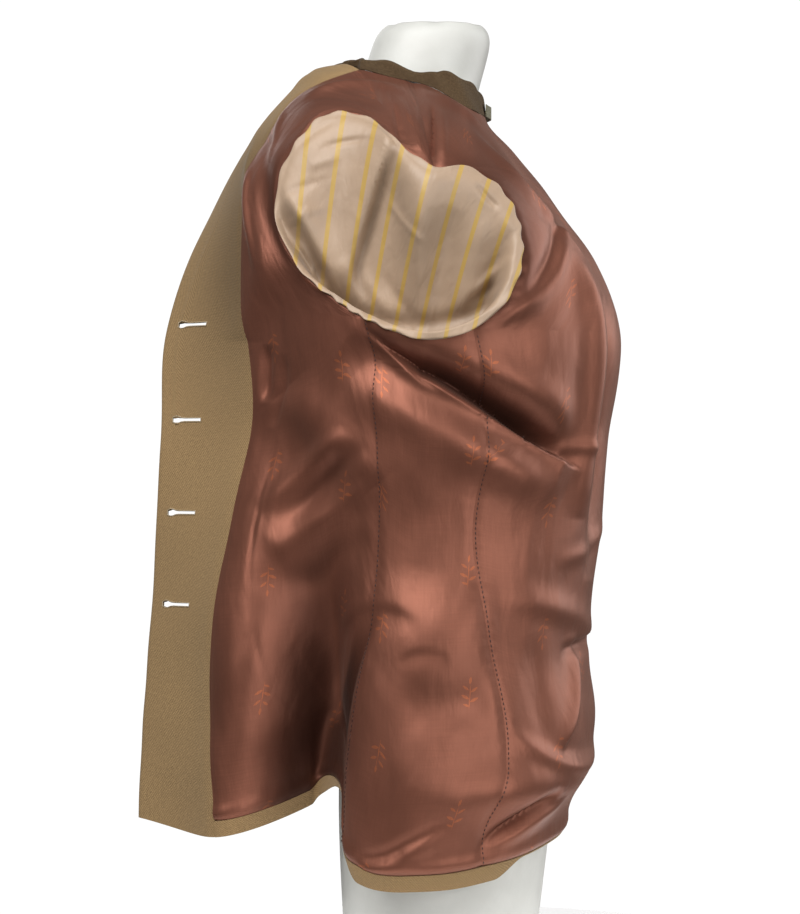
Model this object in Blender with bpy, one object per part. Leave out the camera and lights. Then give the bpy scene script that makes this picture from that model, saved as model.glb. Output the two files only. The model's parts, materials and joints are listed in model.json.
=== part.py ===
"""A blazer turned inside out and hung back to front on a limbless dress form.

Units are metres, +Z is up and the form stands on z = 0. The blazer's front faces -Y and its
right half, with the buttonholes, is at +X. The lining lies outside and the cloth inside it.

The cloth of each half is one surface, given by level sections. A place on it is (turn, z):
turn runs from -1 at the front edge through 0 at the side to 1 at the centre back.
"""

import math

import bmesh
import bpy
import numpy as np
from mathutils import Vector

# Driving sizes of the cloth
HEM_Z = 0.100
HEM_SHOWS = 0.013
SEAM_GAP = 0.0004
HEM_SEAM_GAP = 0.0020
LINING_WALL = 0.0010
CLOTH_WALL = 0.0014
LAYER_GAP = 0.0007
SLEEVE_WALL = 0.0014
COLLAR_WALL = 0.0016
BACK_ROUNDNESS = 2.3
CENTRE_BACK_FROM_TURN = 0.8
SHOULDER_ANGLE = 62.0

# Level sections of one half, low to high. The flap angle is measured from straight ahead.
SECTION_COLUMNS = ("z", "front_y", "front_x", "flap_deg", "side_y", "side_x", "back_y")
SECTIONS = (
    (0.070, -0.2435, 0.085, 25, -0.004, 0.168, 0.080),
    (0.100, -0.2425, 0.085, 25, -0.004, 0.176, 0.0960),
    (0.140, -0.2412, 0.082, 28, -0.005, 0.184, 0.1090),
    (0.195, -0.2396, 0.078, 34, -0.006, 0.188, 0.126),
    (0.276, -0.2356, 0.070, 40, -0.008, 0.182, 0.121),
    (0.360, -0.2319, 0.062, 32, -0.010, 0.176, 0.1320),
    (0.440, -0.2268, 0.055, 20, -0.014, 0.184, 0.138),
    (0.530, -0.2240, 0.045, 32, -0.018, 0.197, 0.147),
    (0.590, -0.2060, 0.036, 56, -0.018, 0.200, 0.125),
    (0.640, -0.1825, 0.030, 68, -0.014, 0.188, 0.0890),
    (0.677, -0.1620, 0.028, 72, -0.014, 0.150, 0.061),
    (0.705, -0.1452, 0.028, 72, -0.018, 0.108, 0.0402),
    (0.729, -0.1236, 0.026, 70, -0.022, 0.063, 0.034),
    (0.742, -0.1105, 0.026, 66, -0.022, 0.046, 0.030),
    (0.748, -0.0970, 0.026, 62, -0.022, 0.042, 0.028),
    (0.751, -0.0740, 0.026, 60, -0.022, 0.040, 0.026),
)

# Height of the hem above its level line along the half, by place s as FOLDS has it.
HEM_RISE_COLUMNS = ("s", "rise")
HEM_RISE = (
    (-0.250, 0.042),
    (-0.170, 0.032),
    (-0.125, 0.046),
    (-0.099, 0.056),
    (-0.074, 0.014),
    (-0.050, 0.012),
    (-0.015, 0.001),
    (0.050, 0.003),
    (0.110, 0.010),
    (0.250, 0.020),
)
HEM_RISE_FADES_AT = 0.300

# Folds of the right half. s is measured along a section, equal to y at the side and in front.
FOLD_COLUMNS = ("start_s", "start_z", "end_s", "end_z", "bow", "width", "depth")
FOLDS = {
    "hip_valley": (-0.131, -0.060, -0.100, 0.350, 0.000, 0.028, -0.058),
    "hip_swell": (-0.040, 0.040, -0.012, 0.300, 0.000, 0.044, 0.012),
    "flap_roll": (-0.172, -0.050, -0.140, 0.440, 0.000, 0.030, 0.014),
    "underarm_valley": (-0.075, 0.516, 0.105, 0.424, -0.006, 0.017, -0.015),
    "underarm_ridge": (-0.070, 0.488, 0.110, 0.396, -0.006, 0.018, 0.008),
    "armhole_roll": (-0.158, 0.520, -0.138, 0.680, -0.014, 0.015, 0.006),
    "chest_drag": (-0.125, 0.480, -0.060, 0.400, 0.010, 0.020, 0.007),
    "waist_drag": (-0.130, 0.360, -0.050, 0.420, -0.010, 0.022, -0.008),
    "back_ridge": (0.150, 0.600, 0.135, 0.380, 0.008, 0.016, 0.010),
    "back_valley": (0.185, 0.560, 0.175, 0.330, 0.006, 0.020, -0.010),
    "low_back_swag": (0.060, 0.230, 0.230, 0.165, -0.020, 0.018, -0.009),
    "hem_blouse": (-0.040, 0.134, 0.290, 0.138, 0.000, 0.013, 0.009),
}
FOLDS_FADE_BY_ARMHOLE = 0.022
LEFT_FOLD_SHARE = 0.6
LEFT_FOLD_LIFT = -0.012

# The left front lies nearer the form than the right one does.
LEFT_FRONT_BACK = 0.045
LEFT_FRONT_IN = 0.030
LEFT_FLAP_TURN = 26.0
LEFT_FLAP_MOST = 58.0
LEFT_FRONT_FROM_Z = 0.560
LEFT_FRONT_TO_Z = 0.720

# Seams of one half, as y at each height.
SEAM_COLUMNS = ("z", "y")
FACING_SEAM = (
    (0.090, -0.172),
    (0.190, -0.178),
    (0.270, -0.180),
    (0.380, -0.163),
    (0.473, -0.150),
    (0.550, -0.159),
    (0.612, -0.158),
    (0.660, -0.152),
    (0.697, -0.136),
    (0.724, -0.112),
    (0.7425, -0.066),
)
FRONT_SEAM = (
    (0.090, -0.083),
    (0.170, -0.082),
    (0.240, -0.071),
    (0.320, -0.056),
    (0.404, -0.052),
    (0.540, -0.064),
)
BACK_SEAM = (
    (0.090, 0.031),
    (0.140, 0.029),
    (0.190, 0.046),
    (0.300, 0.031),
    (0.370, 0.023),
    (0.450, 0.033),
    (0.540, 0.021),
)
EDGE_TOP_Z = 0.7500
NECK_FRONT = (-0.066, 0.7425)
NECK_SIDE = (-0.0225, 0.7294)
NECK_BACK_Z = 0.707
NECK_DIP = 0.0115
SHOULDER_LEVEL_AT_BACK = 0.664

# How far up the facing's upper seam a row starts that ends at an angle of the armhole.
FACING_TURNS_Z = 0.548
FRONT_PACE_COLUMNS = ("armhole_deg", "share")
FRONT_PACE = (
    (62.0, 0.970),
    (88.0, 0.920),
    (115.0, 0.790),
    (140.0, 0.620),
    (180.0, 0.370),
    (247.0, 0.000),
)
SEAMS_MEET_ARMHOLE = (247.0, 306.5)

# The armhole, seen from the side: its reach from its middle every 15 degrees from the back.
ARMHOLE_MIDDLE = (-0.0332, 0.6006)
ARMHOLE_REACH = (
    0.0920, 0.0874, 0.0795, 0.0698, 0.0562, 0.0575, 0.0683, 0.0945,
    0.1110, 0.1095, 0.1055, 0.1002, 0.0921, 0.0835, 0.0767, 0.0714,
    0.0712, 0.0732, 0.0790, 0.0866, 0.0915, 0.0954, 0.0968, 0.0957,
)

# The sleeve inside the body, as flattened rings down to the cuff. Each keeps a depth behind the
# body's plain surface.
SLEEVE_RING_COLUMNS = ("z", "middle_y", "half_depth", "behind", "half_gap")
SLEEVE_RINGS = (
    (0.485, -0.030, 0.076, 0.0235, 0.0100),
    (0.400, -0.018, 0.066, 0.0125, 0.0095),
    (0.310, 0.000, 0.056, 0.0105, 0.0090),
    (0.230, 0.000, 0.054, 0.0145, 0.0080),
    (0.165, 0.000, 0.052, 0.0150, 0.0080),
)
SLEEVE_STEPS_DOWN = (0.0, 0.08, 0.16, 0.24, 0.33, 0.44, 0.58, 0.78, 1.0)
SLEEVE_SEAM_GAP = 0.0016
SLEEVE_LEVEL = 0.002
SLEEVE_LEAVES = 0.022
SLEEVE_HANGS = 0.020
SLEEVE_ARRIVES = 0.45

# The collar stands on the neckline, rolls over its top and falls inside.
COLLAR_COLUMNS = ("turn", "stand", "lean_in")
COLLAR = (
    (-1.00, 0.0040, 0.002),
    (-0.50, 0.0090, 0.002),
    (-0.07, 0.0068, 0.001),
    (0.06, 0.0066, 0.001),
    (0.25, 0.0175, 0.006),
    (0.55, 0.0222, 0.008),
    (1.00, 0.0150, 0.001),
)
COLLAR_ROLL = 0.0032
COLLAR_ROLL_STEPS = (45.0, 90.0, 135.0, 180.0)
COLLAR_FALL = 0.014
COLLAR_FALL_SHARE = 0.7
COLLAR_MIDDLE_Y = -0.014

# The form, whose chest faces +Y, as level sections from the floor to the neck.
FORM_COLUMNS = ("z", "half_width", "back_y", "chest_y")
FORM = (
    (0.000, 0.130, -0.076, 0.074),
    (0.012, 0.136, -0.079, 0.078),
    (0.080, 0.146, -0.083, 0.085),
    (0.160, 0.150, -0.086, 0.096),
    (0.240, 0.145, -0.080, 0.096),
    (0.320, 0.128, -0.066, 0.090),
    (0.380, 0.116, -0.062, 0.088),
    (0.450, 0.122, -0.072, 0.104),
    (0.520, 0.136, -0.084, 0.130),
    (0.570, 0.144, -0.090, 0.112),
    (0.620, 0.152, -0.090, 0.080),
    (0.650, 0.156, -0.088, 0.060),
    (0.672, 0.140, -0.084, 0.046),
    (0.692, 0.115, -0.079, 0.034),
    (0.708, 0.0930, -0.075, 0.029),
    (0.722, 0.0620, -0.0705, 0.0300),
    (0.732, 0.0505, -0.0675, 0.0323),
    (0.745, 0.0495, -0.0638, 0.0358),
    (0.766, 0.0485, -0.0577, 0.0416),
    (0.777, 0.0465, -0.0535, 0.0420),
    (0.784, 0.0410, -0.0470, 0.0370),
)
FORM_ROUNDNESS = 2.3
SHARP_ABOVE_DEG = 50.0

# Buttons on the left front and the holes for them in the right one.
BUTTON_HEIGHTS = (0.5355, 0.4584, 0.3838, 0.3108)
BUTTON_RADIUS = 0.0095
BUTTON_THICK = 0.0034
BUTTON_EDGE = 0.0008
BUTTON_SHANK = (0.0020, 0.0014)
BUTTON_FROM_EDGE = 0.012
BUTTON_SEAT = 0.0004
BUTTON_SIDES = 12
HOLE_FROM_EDGE = 0.0100
HOLE_LENGTH = 0.024
HOLE_WIDTH = 0.0030
HOLE_ROW_ROOM = 0.012
HOLE_MOST_SHARES = (0.3, 0.7)

# A blank hanger loop outside the collar's seam at the centre back.
LOOP_HALF_LENGTH = 0.024
LOOP_HEIGHT = 0.010
LOOP_BULGE = 0.0036
LOOP_RISE = 0.001
LOOP_WALL = 0.0010
LOOP_STEPS = 8

# Grid counts: rows up the lower seams, round the armhole and along the shoulder, then columns.
LOWER_ROWS = {"right": 17, "left": 9}
ARMHOLE_ROWS = {"right": 9, "left": 7}
SHOULDER_ROWS = {"right": 2, "left": 2}
FRONT_COLUMNS = {"right": 7, "left": 6}
SIDE_COLUMNS = {"right": 5, "left": 4}
BACK_COLUMNS = {"right": 7, "left": 7}
FORM_STEPS_ROUND = 28
TRACE_STEPS = 60
SLOPE_STEP = 2e-4
WELD = 1e-6

# Finishes: colour, roughness and metallic value
LINING_FINISH = ("lining", (0.190, 0.072, 0.049), 0.38, 0.0)
CLOTH_FINISH = ("cloth", (0.262, 0.180, 0.078), 0.85, 0.0)
COLLAR_FINISH = ("collar", (0.075, 0.047, 0.024), 0.90, 0.0)
SLEEVE_FINISH = ("sleeve_lining", (0.640, 0.500, 0.410), 0.50, 0.0)
FORM_FINISH = ("form", (0.760, 0.755, 0.700), 0.45, 0.0)
BUTTON_FINISH = ("button", (0.090, 0.050, 0.022), 0.35, 0.0)
LOOP_FINISH = ("loop", (0.180, 0.170, 0.105), 0.70, 0.0)


def smooth_through(places, knots, values):
    """Values on a smooth curve through the knots, level beyond its ends."""
    places = np.clip(np.asarray(places, float), knots[0], knots[-1])
    knots = np.asarray(knots, float)
    values = np.asarray(values, float)
    slopes = np.gradient(values, knots)
    low = np.clip(np.searchsorted(knots, places, side="right") - 1, 0, len(knots) - 2)
    span = knots[low + 1] - knots[low]
    t = (places - knots[low]) / span
    return (
        values[low] * (2 * t**3 - 3 * t**2 + 1)
        + values[low + 1] * (3 * t**2 - 2 * t**3)
        + span * slopes[low] * (t**3 - 2 * t**2 + t)
        + span * slopes[low + 1] * (t**3 - t**2)
    )


def ease(t):
    """0 to 1 with a level start and end."""
    t = np.clip(t, 0.0, 1.0)
    return t * t * (3 - 2 * t)


def column(table, columns, name):
    """One named column of a table."""
    place = columns.index(name)
    return [row[place] for row in table]


def section(z, half):
    """The named measures of the level section at z."""
    knots = column(SECTIONS, SECTION_COLUMNS, "z")
    found = {
        name: smooth_through(z, knots, column(SECTIONS, SECTION_COLUMNS, name))
        for name in SECTION_COLUMNS[1:]
    }
    if half == "left":
        share = 1 - ease((z - LEFT_FRONT_FROM_Z) / (LEFT_FRONT_TO_Z - LEFT_FRONT_FROM_Z))
        found["front_y"] = found["front_y"] + LEFT_FRONT_BACK * share
        found["front_x"] = found["front_x"] - LEFT_FRONT_IN * share
        turned = np.minimum(found["flap_deg"] + LEFT_FLAP_TURN * share, LEFT_FLAP_MOST)
        found["flap_deg"] = np.maximum(found["flap_deg"], turned)
    return found


def turn_at(y, z, half):
    """The turn at which the half's plain surface has this y, seen from the side."""
    at = section(z, half)
    ahead = (at["side_y"] - y) / (at["side_y"] - at["front_y"])
    behind = np.clip((y - at["side_y"]) / (at["back_y"] - at["side_y"]), 0.0, 1.0)
    wrapped = np.arcsin(behind ** (BACK_ROUNDNESS / 2)) / (math.pi / 2)
    return np.where(y < at["side_y"], -np.clip(ahead, 0.0, 1.0), wrapped)


def plain_surface(turn, z, half):
    """The half's surface with no folds, and the place s along its section."""
    at = section(z, half)
    ahead = np.clip(-turn, 0.0, 1.0)
    reach = at["side_y"] - at["front_y"]
    edge_slope = -np.tan(np.radians(at["flap_deg"])) * reach
    front_x = (
        at["side_x"] * (2 * ahead**3 - 3 * ahead**2 + 1)
        + at["front_x"] * (3 * ahead**2 - 2 * ahead**3)
        + edge_slope * (ahead**3 - ahead**2)
    )
    front_y = at["side_y"] - ahead * reach
    wrap = np.clip(turn, 0.0, 1.0) * math.pi / 2
    power = 2 / BACK_ROUNDNESS
    back_x = at["side_x"] * np.clip(np.cos(wrap), 0.0, 1.0) ** power
    back_y = at["side_y"] + (at["back_y"] - at["side_y"]) * np.sin(wrap) ** power
    in_front = turn < 0
    y = np.where(in_front, front_y, back_y)
    mean_radius = (at["side_x"] + at["back_y"] - at["side_y"]) / 2
    s = np.where(in_front, front_y, at["side_y"] + wrap * mean_radius)
    rise = smooth_through(s, *[column(HEM_RISE, HEM_RISE_COLUMNS, name) for name in HEM_RISE_COLUMNS])
    fade = 1 - ease((z - HEM_Z) / (HEM_RISE_FADES_AT - HEM_Z))
    points = np.stack([np.where(in_front, front_x, back_x), y, z + rise * fade], axis=-1)
    return points, s


def fold_depth(s, z, fold):
    """How far one fold moves the surface out at (s, z): a soft ridge or trough along a bowed line."""
    row = dict(zip(FOLD_COLUMNS, fold))
    along_s = row["end_s"] - row["start_s"]
    along_z = row["end_z"] - row["start_z"]
    length = math.hypot(along_s, along_z)
    t = ((s - row["start_s"]) * along_s + (z - row["start_z"]) * along_z) / length**2
    aside = ((z - row["start_z"]) * along_s - (s - row["start_s"]) * along_z) / length
    aside = aside - row["bow"] * 4 * t * (1 - t)
    fade = np.clip(1 - (2 * t - 1) ** 4, 0.0, 1.0)
    return row["depth"] * fade * np.exp(-((aside / row["width"]) ** 2))


def outward(points):
    """Unit normals of a grid of points, by its rows and columns."""
    across = np.cross(np.gradient(points, axis=1), np.gradient(points, axis=0))
    return across / np.linalg.norm(across, axis=-1, keepdims=True)


def slope_normal(surface, places, half):
    """Outward unit normals of a surface of a half at places (turn, z)."""
    step_turn, step_z = np.array([SLOPE_STEP, 0.0]), np.array([0.0, SLOPE_STEP])
    inner = np.clip(places, [-1 + SLOPE_STEP, 0.0], [1 - SLOPE_STEP, 1.0])
    by_turn = surface(inner + step_turn, half) - surface(inner - step_turn, half)
    by_z = surface(inner + step_z, half) - surface(inner - step_z, half)
    across = np.cross(by_turn, by_z)
    # Both halves meet at the centre back, where the normal keeps to the middle plane.
    near_centre = (places[..., 0] - CENTRE_BACK_FROM_TURN) / (1 - CENTRE_BACK_FROM_TURN)
    across[..., 0] *= 1 - ease(near_centre)
    return across / np.linalg.norm(across, axis=-1, keepdims=True)


def plain_points(places, half):
    """Points of the right-hand form of a half at places (turn, z), with no folds."""
    return plain_surface(places[..., 0], places[..., 1], half)[0]


def folded_points(places, half):
    """Points of the right-hand form of a half at places (turn, z), folds included."""
    points, s = plain_surface(places[..., 0], places[..., 1], half)
    share, lift = (1.0, 0.0) if half == "right" else (LEFT_FOLD_SHARE, LEFT_FOLD_LIFT)
    depth = sum(fold_depth(s, places[..., 1] - lift, fold) for fold in FOLDS.values()) * share
    depth = depth * ease(beyond_armhole(places) / FOLDS_FADE_BY_ARMHOLE)
    return points + slope_normal(plain_points, places, half) * depth[..., None]


def beyond_armhole(places):
    """How far places (turn, z) lie outside the armhole's edge, seen from the side."""
    from_middle = plain_points(places, "right")[..., 1:] - np.array(ARMHOLE_MIDDLE)
    degrees = np.degrees(np.arctan2(from_middle[..., 1], from_middle[..., 0]))
    return np.linalg.norm(from_middle, axis=-1) - armhole_reach(degrees)


def inset(points, gap):
    """The grid with its four sides drawn in by half a seam's gap."""
    points = points.copy()
    for axis in (0, 1):
        moved = np.swapaxes(points, 0, axis)
        for edge, inner in ((0, 1), (-1, -2)):
            inward = moved[inner] - moved[edge]
            inward /= np.maximum(np.linalg.norm(inward, axis=-1, keepdims=True), WELD)
            moved[edge] += inward * gap / 2
    return points


def along(line, shares):
    """Points at shares of a line's length."""
    line = np.asarray(line, float)
    steps = np.linalg.norm(np.diff(line, axis=0), axis=1)
    run = np.concatenate([[0.0], np.cumsum(steps)])
    wanted = np.asarray(shares) * run[-1]
    return np.stack([np.interp(wanted, run, line[:, k]) for k in (0, 1)], axis=1)


def seam_yz(seam, heights):
    """(y, z) up a seam that a table gives as y at each height."""
    y = smooth_through(heights, *[column(seam, SEAM_COLUMNS, name) for name in SEAM_COLUMNS])
    return np.stack([y, heights], axis=-1)


def armhole_reach(degrees):
    """How far the armhole's edge lies from its middle at angles from the back, counted upwards."""
    steps = len(ARMHOLE_REACH)
    angles = (np.arange(3 * steps) - steps) * 360 / steps
    return smooth_through(np.asarray(degrees, float) % 360, angles, ARMHOLE_REACH * 3)


def armhole_yz(degrees):
    """(y, z) of the armhole's edge at angles from the back, counted upwards."""
    turned = np.radians(degrees)
    out = np.stack([np.cos(turned), np.sin(turned)], axis=-1)
    return np.array(ARMHOLE_MIDDLE) + armhole_reach(degrees)[..., None] * out


def armhole_angles(first, last, count):
    """Angles that part the armhole between two angles into stretches of equal length."""
    fine = np.linspace(first, last, TRACE_STEPS)
    steps = np.linalg.norm(np.diff(armhole_yz(fine), axis=0), axis=1)
    run = np.concatenate([[0.0], np.cumsum(steps)])
    return np.interp(np.linspace(0.0, run[-1], count + 1), run, fine)


def lower_heights(top, half):
    """Heights from the hem to the top of a seam: a row where the lining ends, and two at each slit."""
    low = HEM_Z + HEM_SHOWS
    levels = list(np.linspace(low, FACING_TURNS_Z, LOWER_ROWS[half]))
    if half == "right":
        slits = [z + side * HOLE_WIDTH / 2 for z in BUTTON_HEIGHTS for side in (-1, 1)]
        clear = [z for z in levels[1:-1] if min(abs(z - hole) for hole in BUTTON_HEIGHTS) > HOLE_ROW_ROOM]
        levels = sorted([low, FACING_TURNS_Z] + clear + slits)
    shares = (np.array(levels) - low) / (FACING_TURNS_Z - low)
    return np.concatenate([[HEM_Z], low + shares * (top - low)])


def chain(*lines):
    """Lines end to end as one."""
    return np.concatenate([lines[0]] + [line[1:] for line in lines[1:]])


def between(first, second, columns):
    """A grid between two lines with the same count of points."""
    share = np.linspace(0.0, 1.0, columns + 1)[None, :, None]
    return first[:, None, :] * (1 - share) + second[:, None, :] * share


def to_turn(places):
    """(turn, z) of places given as (y, z) on the right half. The left half has the same turns."""
    return np.stack([turn_at(places[..., 0], places[..., 1], "right"), places[..., 1]], axis=-1)


def lower_seam(seam, angle, half):
    """(y, z) up a seam from the hem to the armhole's edge at an angle, led over to it as it rises."""
    top_y, top_z = armhole_yz(angle)
    line = seam_yz(seam, lower_heights(top_z, half))
    line[:, 0] += (top_y - line[-1, 0]) * ease((line[:, 1] - HEM_Z) / (top_z - HEM_Z))
    return line


def facing_lines(half):
    """(y, z) up the front edge, both ends of the buttonholes and the facing's seam."""
    heights = lower_heights(FACING_TURNS_Z, half)
    angles = armhole_angles(SEAMS_MEET_ARMHOLE[0], SHOULDER_ANGLE, ARMHOLE_ROWS[half])
    paces = [column(FRONT_PACE, FRONT_PACE_COLUMNS, name) for name in FRONT_PACE_COLUMNS]
    pace = np.interp(angles, *paces)
    shares = chain(pace, np.linspace(pace[-1], 1.0, SHOULDER_ROWS[half] + 1))
    edge_z = np.linspace(FACING_TURNS_Z, EDGE_TOP_Z, TRACE_STEPS)
    upper_edge = np.stack([section(edge_z, "right")["front_y"], edge_z], axis=1)
    upper_seam = seam_yz(FACING_SEAM, np.linspace(FACING_TURNS_Z, NECK_FRONT[1], TRACE_STEPS))
    lower_edge = np.stack([section(heights, "right")["front_y"], heights], axis=1)
    edge = chain(lower_edge, along(upper_edge, shares))
    seam = chain(seam_yz(FACING_SEAM, heights), along(upper_seam, shares))
    widths = seam[:, :1] - edge[:, :1]
    near = np.minimum(HOLE_FROM_EDGE / widths, HOLE_MOST_SHARES[0])
    far = np.minimum((HOLE_FROM_EDGE + HOLE_LENGTH) / widths, HOLE_MOST_SHARES[1])
    return np.stack([edge, edge + (seam - edge) * near, edge + (seam - edge) * far, seam], axis=1)


def front_grid(half):
    """(turn, z) of the front panel, from the facing's seam to the side, the armhole and the shoulder."""
    front_angle = SEAMS_MEET_ARMHOLE[0]
    angles = armhole_angles(front_angle, SHOULDER_ANGLE, ARMHOLE_ROWS[half])
    side = chain(
        lower_seam(FRONT_SEAM, front_angle, half),
        armhole_yz(angles),
        shoulder_line(half),
    )
    return to_turn(between(facing_lines(half)[:, -1], side, FRONT_COLUMNS[half]))


def shoulder_line(half):
    """(y, z) up the shoulder seam, from the armhole to the neck."""
    return along([armhole_yz(SHOULDER_ANGLE), NECK_SIDE], np.linspace(0.0, 1.0, SHOULDER_ROWS[half] + 1))


def back_grid(half):
    """(turn, z) of the back panel, from the side, the armhole and the shoulder to the centre back."""
    back_angle = SEAMS_MEET_ARMHOLE[1] - 360
    seam = lower_seam(BACK_SEAM, back_angle, half)
    angles = armhole_angles(back_angle, SHOULDER_ANGLE, ARMHOLE_ROWS[half])
    side = chain(seam, armhole_yz(angles), shoulder_line(half))
    centre_z = chain(
        seam[:, 1],
        np.linspace(seam[-1, 1], SHOULDER_LEVEL_AT_BACK, ARMHOLE_ROWS[half] + 1),
        np.linspace(SHOULDER_LEVEL_AT_BACK, NECK_BACK_Z, SHOULDER_ROWS[half] + 1),
    )
    centre = np.stack([np.ones(len(centre_z)), centre_z], axis=1)
    grid = between(to_turn(side), centre, BACK_COLUMNS[half])
    # The neckline hangs in a curve from the shoulder to the centre back.
    across = np.linspace(0.0, 1.0, BACK_COLUMNS[half] + 1)
    up = np.clip(np.arange(len(grid)) - len(seam) - ARMHOLE_ROWS[half] + 1, 0, None) / SHOULDER_ROWS[half]
    grid[..., 1] -= NECK_DIP * up[:, None] * (4 * across * (1 - across)) ** 2
    return grid


def side_grid(half):
    """(turn, z) of the side panel: two seams and, on top, the foot of the armhole."""
    top = armhole_yz(armhole_angles(*SEAMS_MEET_ARMHOLE, SIDE_COLUMNS[half]))
    made = []
    for place, (top_y, top_z) in zip(np.linspace(0.0, 1.0, len(top)), top):
        heights = lower_heights(top_z, half)
        y = (1 - place) * seam_yz(FRONT_SEAM, heights)[:, 0] + place * seam_yz(BACK_SEAM, heights)[:, 0]
        y += (top_y - y[-1]) * ease((heights - HEM_Z) / (top_z - HEM_Z))
        made.append(np.stack([y, heights], axis=1))
    return to_turn(np.stack(made, axis=1))


def finish_material(finish):
    """A plain surface finish, made once."""
    name, colour, roughness, metallic = finish
    found = bpy.data.materials.get(name)
    if found:
        return found
    material = bpy.data.materials.new(name)
    material.use_nodes = True
    shader = material.node_tree.nodes["Principled BSDF"]
    shader.inputs["Base Color"].default_value = (*colour, 1.0)
    shader.inputs["Roughness"].default_value = roughness
    shader.inputs["Metallic"].default_value = metallic
    return material


def add_object(name, bm, finish, collection):
    """A mesh object from a bmesh, shaded smooth, with its finish."""
    mesh = bpy.data.meshes.new(name)
    bm.to_mesh(mesh)
    bm.free()
    mesh.shade_smooth()
    mesh.materials.append(finish_material(finish))
    made = bpy.data.objects.new(name, mesh)
    collection.objects.link(made)
    return made


def grid_into(bm, points):
    """Adds a grid of quads through rows and columns of points, and returns its vertices."""
    rows, columns = points.shape[0] - 1, points.shape[1] - 1
    verts = bmesh.ops.create_grid(bm, x_segments=columns, y_segments=rows, size=1.0)["verts"]
    for vert, place in zip(verts, points.reshape(-1, 3)):
        vert.co = place
    return verts


def add_wall(name, outer, inner, finish, collection, slits=()):
    """A cloth wall between two grids of points, open at the cells of its slits."""
    bm = bmesh.new()
    front, back = grid_into(bm, outer), grid_into(bm, inner)
    partner = dict(zip(front, back))
    for row, col in slits:
        corner = row * outer.shape[1] + col
        for sheet in (front, back):
            cell = {sheet[corner], sheet[corner + 1], sheet[corner + outer.shape[1]]}
            open_faces = [face for face in sheet[corner].link_faces if cell <= set(face.verts)]
            bmesh.ops.delete(bm, geom=open_faces, context="FACES_ONLY")
    for edge in [edge for edge in bm.edges if edge.is_boundary and edge.verts[0] in partner]:
        first, second = edge.verts
        bm.faces.new((second, first, partner[first], partner[second]))
    bmesh.ops.recalc_face_normals(bm, faces=bm.faces)
    made = add_object(name, bm, finish, collection)
    made.data.set_sharp_from_angle(angle=math.radians(SHARP_ABOVE_DEG))
    return made


def place_half(points, half):
    """Points of the right-hand form put on their own side, with their columns still running outward."""
    if half == "right":
        return points
    return points[:, ::-1] * np.array([-1.0, 1.0, 1.0])


def add_panel(name, places, depth, wall, finish, half, collection, slits=(), gap=SEAM_GAP):
    """A panel of one half that lies a depth inside the outermost surface."""
    points = folded_points(places, half)
    normal = slope_normal(folded_points, places, half)
    faces = [
        place_half(inset(points - normal * far, gap), half) for far in (depth, depth + wall)
    ]
    add_wall(f"{name}_{half}", *faces, finish, collection, slits)


def build_body(half, collection):
    """The lining, facing, hem band and cloth panels of one half."""
    facing = to_turn(facing_lines(half))
    facing[:, 0, 0] = -1.0
    front, side, back = front_grid(half), side_grid(half), back_grid(half)
    whole_front = np.concatenate([facing[:, :-1], front], axis=1)
    hem = np.concatenate([front[:2, :-1], side[:2, :-1], back[:2]], axis=1)
    slits = ()
    if half == "right":
        heights = lower_heights(FACING_TURNS_Z, half)
        slits = [(int(np.argmin(np.abs(heights - z + HOLE_WIDTH / 2))), 1) for z in BUTTON_HEIGHTS]
    inside = LINING_WALL + LAYER_GAP
    lining = (0.0, LINING_WALL, LINING_FINISH, half, collection)
    turned_in = (0.0, LINING_WALL, CLOTH_FINISH, half, collection)
    cloth = (inside, CLOTH_WALL, CLOTH_FINISH, half, collection)
    add_panel("lining_front", front[1:], *lining)
    add_panel("lining_side", side[1:], *lining)
    add_panel("lining_back", back[1:], *lining)
    add_panel("facing", facing, *turned_in, slits)
    add_panel("hem_band", hem, *turned_in, gap=HEM_SEAM_GAP)
    add_panel("cloth_front", whole_front, *cloth, slits)
    add_panel("cloth_side", side, *cloth)
    add_panel("cloth_back", back, *cloth)


def sleeve_ring(row, degrees, half):
    """One flattened ring of the sleeve, its upper half nearer the form."""
    at = dict(zip(SLEEVE_RING_COLUMNS, row))
    turned = np.radians(degrees)
    y = at["middle_y"] + at["half_depth"] * np.cos(turned)
    places = to_turn(np.stack([y, np.full(len(degrees), at["z"])], axis=1))
    depth = at["behind"] + at["half_gap"] * (1 + np.sin(turned))
    inward = slope_normal(plain_points, places, half) * np.array([-1.0, -1.0, 0.0])
    inward /= np.linalg.norm(inward, axis=1, keepdims=True)
    return plain_points(places, half) + inward * depth[:, None]


def armhole_loop(half):
    """Angles of the panels' points round the armhole, upwards from the shoulder seam."""
    front_angle, back_angle = SEAMS_MEET_ARMHOLE
    return chain(
        armhole_angles(SHOULDER_ANGLE, front_angle, ARMHOLE_ROWS[half]),
        armhole_angles(front_angle, back_angle, SIDE_COLUMNS[half]),
        armhole_angles(back_angle, SHOULDER_ANGLE + 360, ARMHOLE_ROWS[half]),
    )


def sleeve_seams(degrees):
    """Columns of the two long seams, at the front and the back of the armhole."""
    return [int(np.argmin(np.abs(degrees - end))) for end in (180.0, 360.0)]


def evenly_round(degrees):
    """Angles round the sleeve's rings for the armhole's, its two long seams at the rings' ends."""
    front_end, back_end = sleeve_seams(degrees)
    top_columns = len(degrees) - 1 - (back_end - front_end)
    knots = (front_end - top_columns, front_end, back_end, back_end + top_columns)
    return np.interp(np.arange(len(degrees)), knots, (0.0, 180.0, 360.0, 540.0))


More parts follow.
